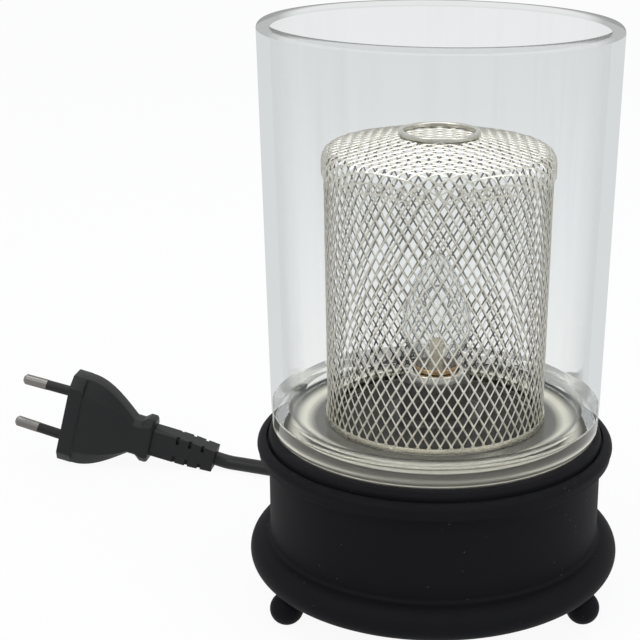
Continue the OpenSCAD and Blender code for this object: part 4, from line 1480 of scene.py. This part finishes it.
    def build(self, finish: Finish) -> bmesh.types.BMesh:
        """Runs the tree and closes the cut ends of the strands.

        Args:
            finish: The metal's finish.

        Returns:
            The lattice as a mesh under construction, in metres.
        """
        bond = self._cross()
        form = linked(self.name + "_form", poly_curve(self.name + "_form", [(r, 0.0, z) for r, z in self.form]))
        holder = meshed(self.name + "_holder", bmesh.new())
        modifier = holder.modifiers.new("lattice", "NODES")
        tree = self._tree()
        modifier.node_group = tree
        wanted = {
            "Bond": bond, "Form": form, "Columns": self.columns, "Rows": self.rows,
            "Cell Width": self.cell_w * MM, "Cell Height": self.cell_h * MM,
            "Inner Reach": self.reach[0] * MM, "Outer Reach": self.reach[1] * MM, "Metal": finish.material(),
        }
        for item in tree.interface.items_tree:
            if item.in_out == "INPUT" and item.name in wanted:
                modifier[item.identifier] = wanted[item.name]
        bpy.context.view_layer.update()
        mesh = bpy.data.meshes.new_from_object(holder.evaluated_get(bpy.context.evaluated_depsgraph_get()))
        bm = bmesh.new()
        bm.from_mesh(mesh)
        bmesh.ops.holes_fill(bm, edges=[e for e in bm.edges if e.is_boundary], sides=4)
        bmesh.ops.recalc_face_normals(bm, faces=bm.faces[:])
        holder.modifiers.remove(modifier)
        for helper in (holder, bond, form):
            bpy.data.objects.remove(helper)
        bpy.data.meshes.remove(mesh)
        return bm


@dataclass
class MeshBasket:
    """The basket of expanded metal over the bulb."""

    foot_z: float = 58.6
    mesh_low: float = 60.0
    mesh_top: float = 138.6
    form_over: float = 2.0
    foot_r: float = 33.4
    top_r: float = 34.25
    columns: int = 64
    rows: int = 14
    hoop_in: float = 32.4
    hoop_out: float = 34.1
    hoop_lip: float = 0.9
    hoop_t: float = 0.35
    hoop_bend: float = 0.3
    cap_r: float = 35.0
    skirt_z: float = 134.2
    skirt_short: float = 0.8
    shoulder_z: float = 139.6
    shoulder_r: float = 3.9
    slope: float = 58.0
    vent_r: float = 12.3
    vent_h: float = 1.3
    vent_edge: float = 0.45
    eye_r: float = 10.7
    dome_z: float = 147.0
    dome_sink: float = 0.3
    dome_flat: float = 0.8
    dome_cell: Flat = (6.0, 3.35)
    dome_strand: float = 0.6
    dome_thick: float = 0.3

    def build(self) -> None:
        """Builds the side, the domed top, the hoop and the vent ring."""
        self._build_side()
        self._build_top()
        lip_z, inside = self.mesh_low + self.hoop_lip, self.hoop_out - self.hoop_t
        bend, edge, ring_top = self.hoop_bend, self.vent_edge, self.dome_z + self.vent_h
        hoop = (
            [(self.hoop_in, self.foot_z)]
            + arc((self.hoop_out - bend, self.foot_z + bend), bend, -90, 0, 5)
            + [(self.hoop_out, lip_z), (inside, lip_z), (inside, self.mesh_low), (self.hoop_in, self.mesh_low)]
        )
        eyelet = (
            [(self.eye_r, self.dome_z), (self.vent_r, self.dome_z)]
            + arc((self.vent_r - edge, ring_top - edge), edge, 0, 90, 6)
            + arc((self.eye_r + edge, ring_top - edge), edge, 90, 180, 6)
        )
        settle(placed("foot_hoop", turned(hoop), HOOP_NICKEL), Body.BASKET, "mesh_nickel", "basket_hoop")
        settle(placed("eyelet_ring", turned(eyelet), RING_NICKEL), Body.BASKET, "mesh_nickel", "vent_ring")

    def _build_side(self) -> None:
        """Rolls the side."""
        side = ExpandedSheet(
            "basket_side_sheet", Wrap.TUBE,
            cell_w=2 * math.pi * (self.foot_r + self.top_r) / 2 / self.columns,
            cell_h=(self.mesh_top - self.mesh_low) / self.rows,
            columns=self.columns, rows=self.rows,
            form=[(self.foot_r, self.mesh_low), (self.top_r, self.mesh_top + self.form_over)],
        )
        rolled = placed("mesh_side", side.build(MESH_NICKEL), MESH_NICKEL, MESH_ANGLE)
        settle(rolled, Body.BASKET, "mesh_nickel", "basket_side")

    def _build_top(self) -> None:
        """Presses the domed cap."""
        sheet_z = self.dome_z - self.dome_sink
        bend = arc((self.cap_r - self.shoulder_r, self.shoulder_z), self.shoulder_r, self.slope, 0, 10)
        form = [(0.0, sheet_z), (self.vent_r - self.dome_flat, sheet_z), *bend, (self.cap_r, self.skirt_z)]
        length = sum(math.dist(a, b) for a, b in zip(form, form[1:]))
        columns, rows = (2 * math.ceil(length / cell) + 1 for cell in self.dome_cell)
        top = ExpandedSheet(
            "basket_top_sheet", Wrap.DOME, *self.dome_cell, columns, rows, form,
            strand=self.dome_strand, thick=self.dome_thick, reach=(0.0, length - self.skirt_short),
        )
        pressed = placed("mesh_dome", top.build(DOME_NICKEL), DOME_NICKEL, MESH_ANGLE)
        settle(pressed, Body.BASKET, "mesh_nickel", "basket_top")


def main() -> None:
    """Builds everything in order."""
    logging.basicConfig(level=logging.INFO, format="%(name)s: %(message)s")
    bpy.context.scene.view_settings.view_transform = "Standard"
    studio = Studio()
    studio.build_camera()
    lead = MainsLead()
    cord = lead.build_cord()
    plug = FlatPlug().build_body(lead.plug_frame())
    dress(PLUG_RUBBER, "plug_relief", "cord_gland", "cord_clamp")
    dress(BLACK_RESIN, "pin_sleeves")
    dress(PIN_NICKEL, "plug_pins")
    dress(CORD_SHEATH, "inner_cord")
    dress(TIE_STRIP, "coil_tie")
    lead.declare()
    studio.build_floor()
    studio.build_light()
    for part in (TurnedBase(), Lampholder(), ScrewBulb(), GlassJar(), MeshBasket()):
        part.build()


if __name__ == "__main__":
    main()
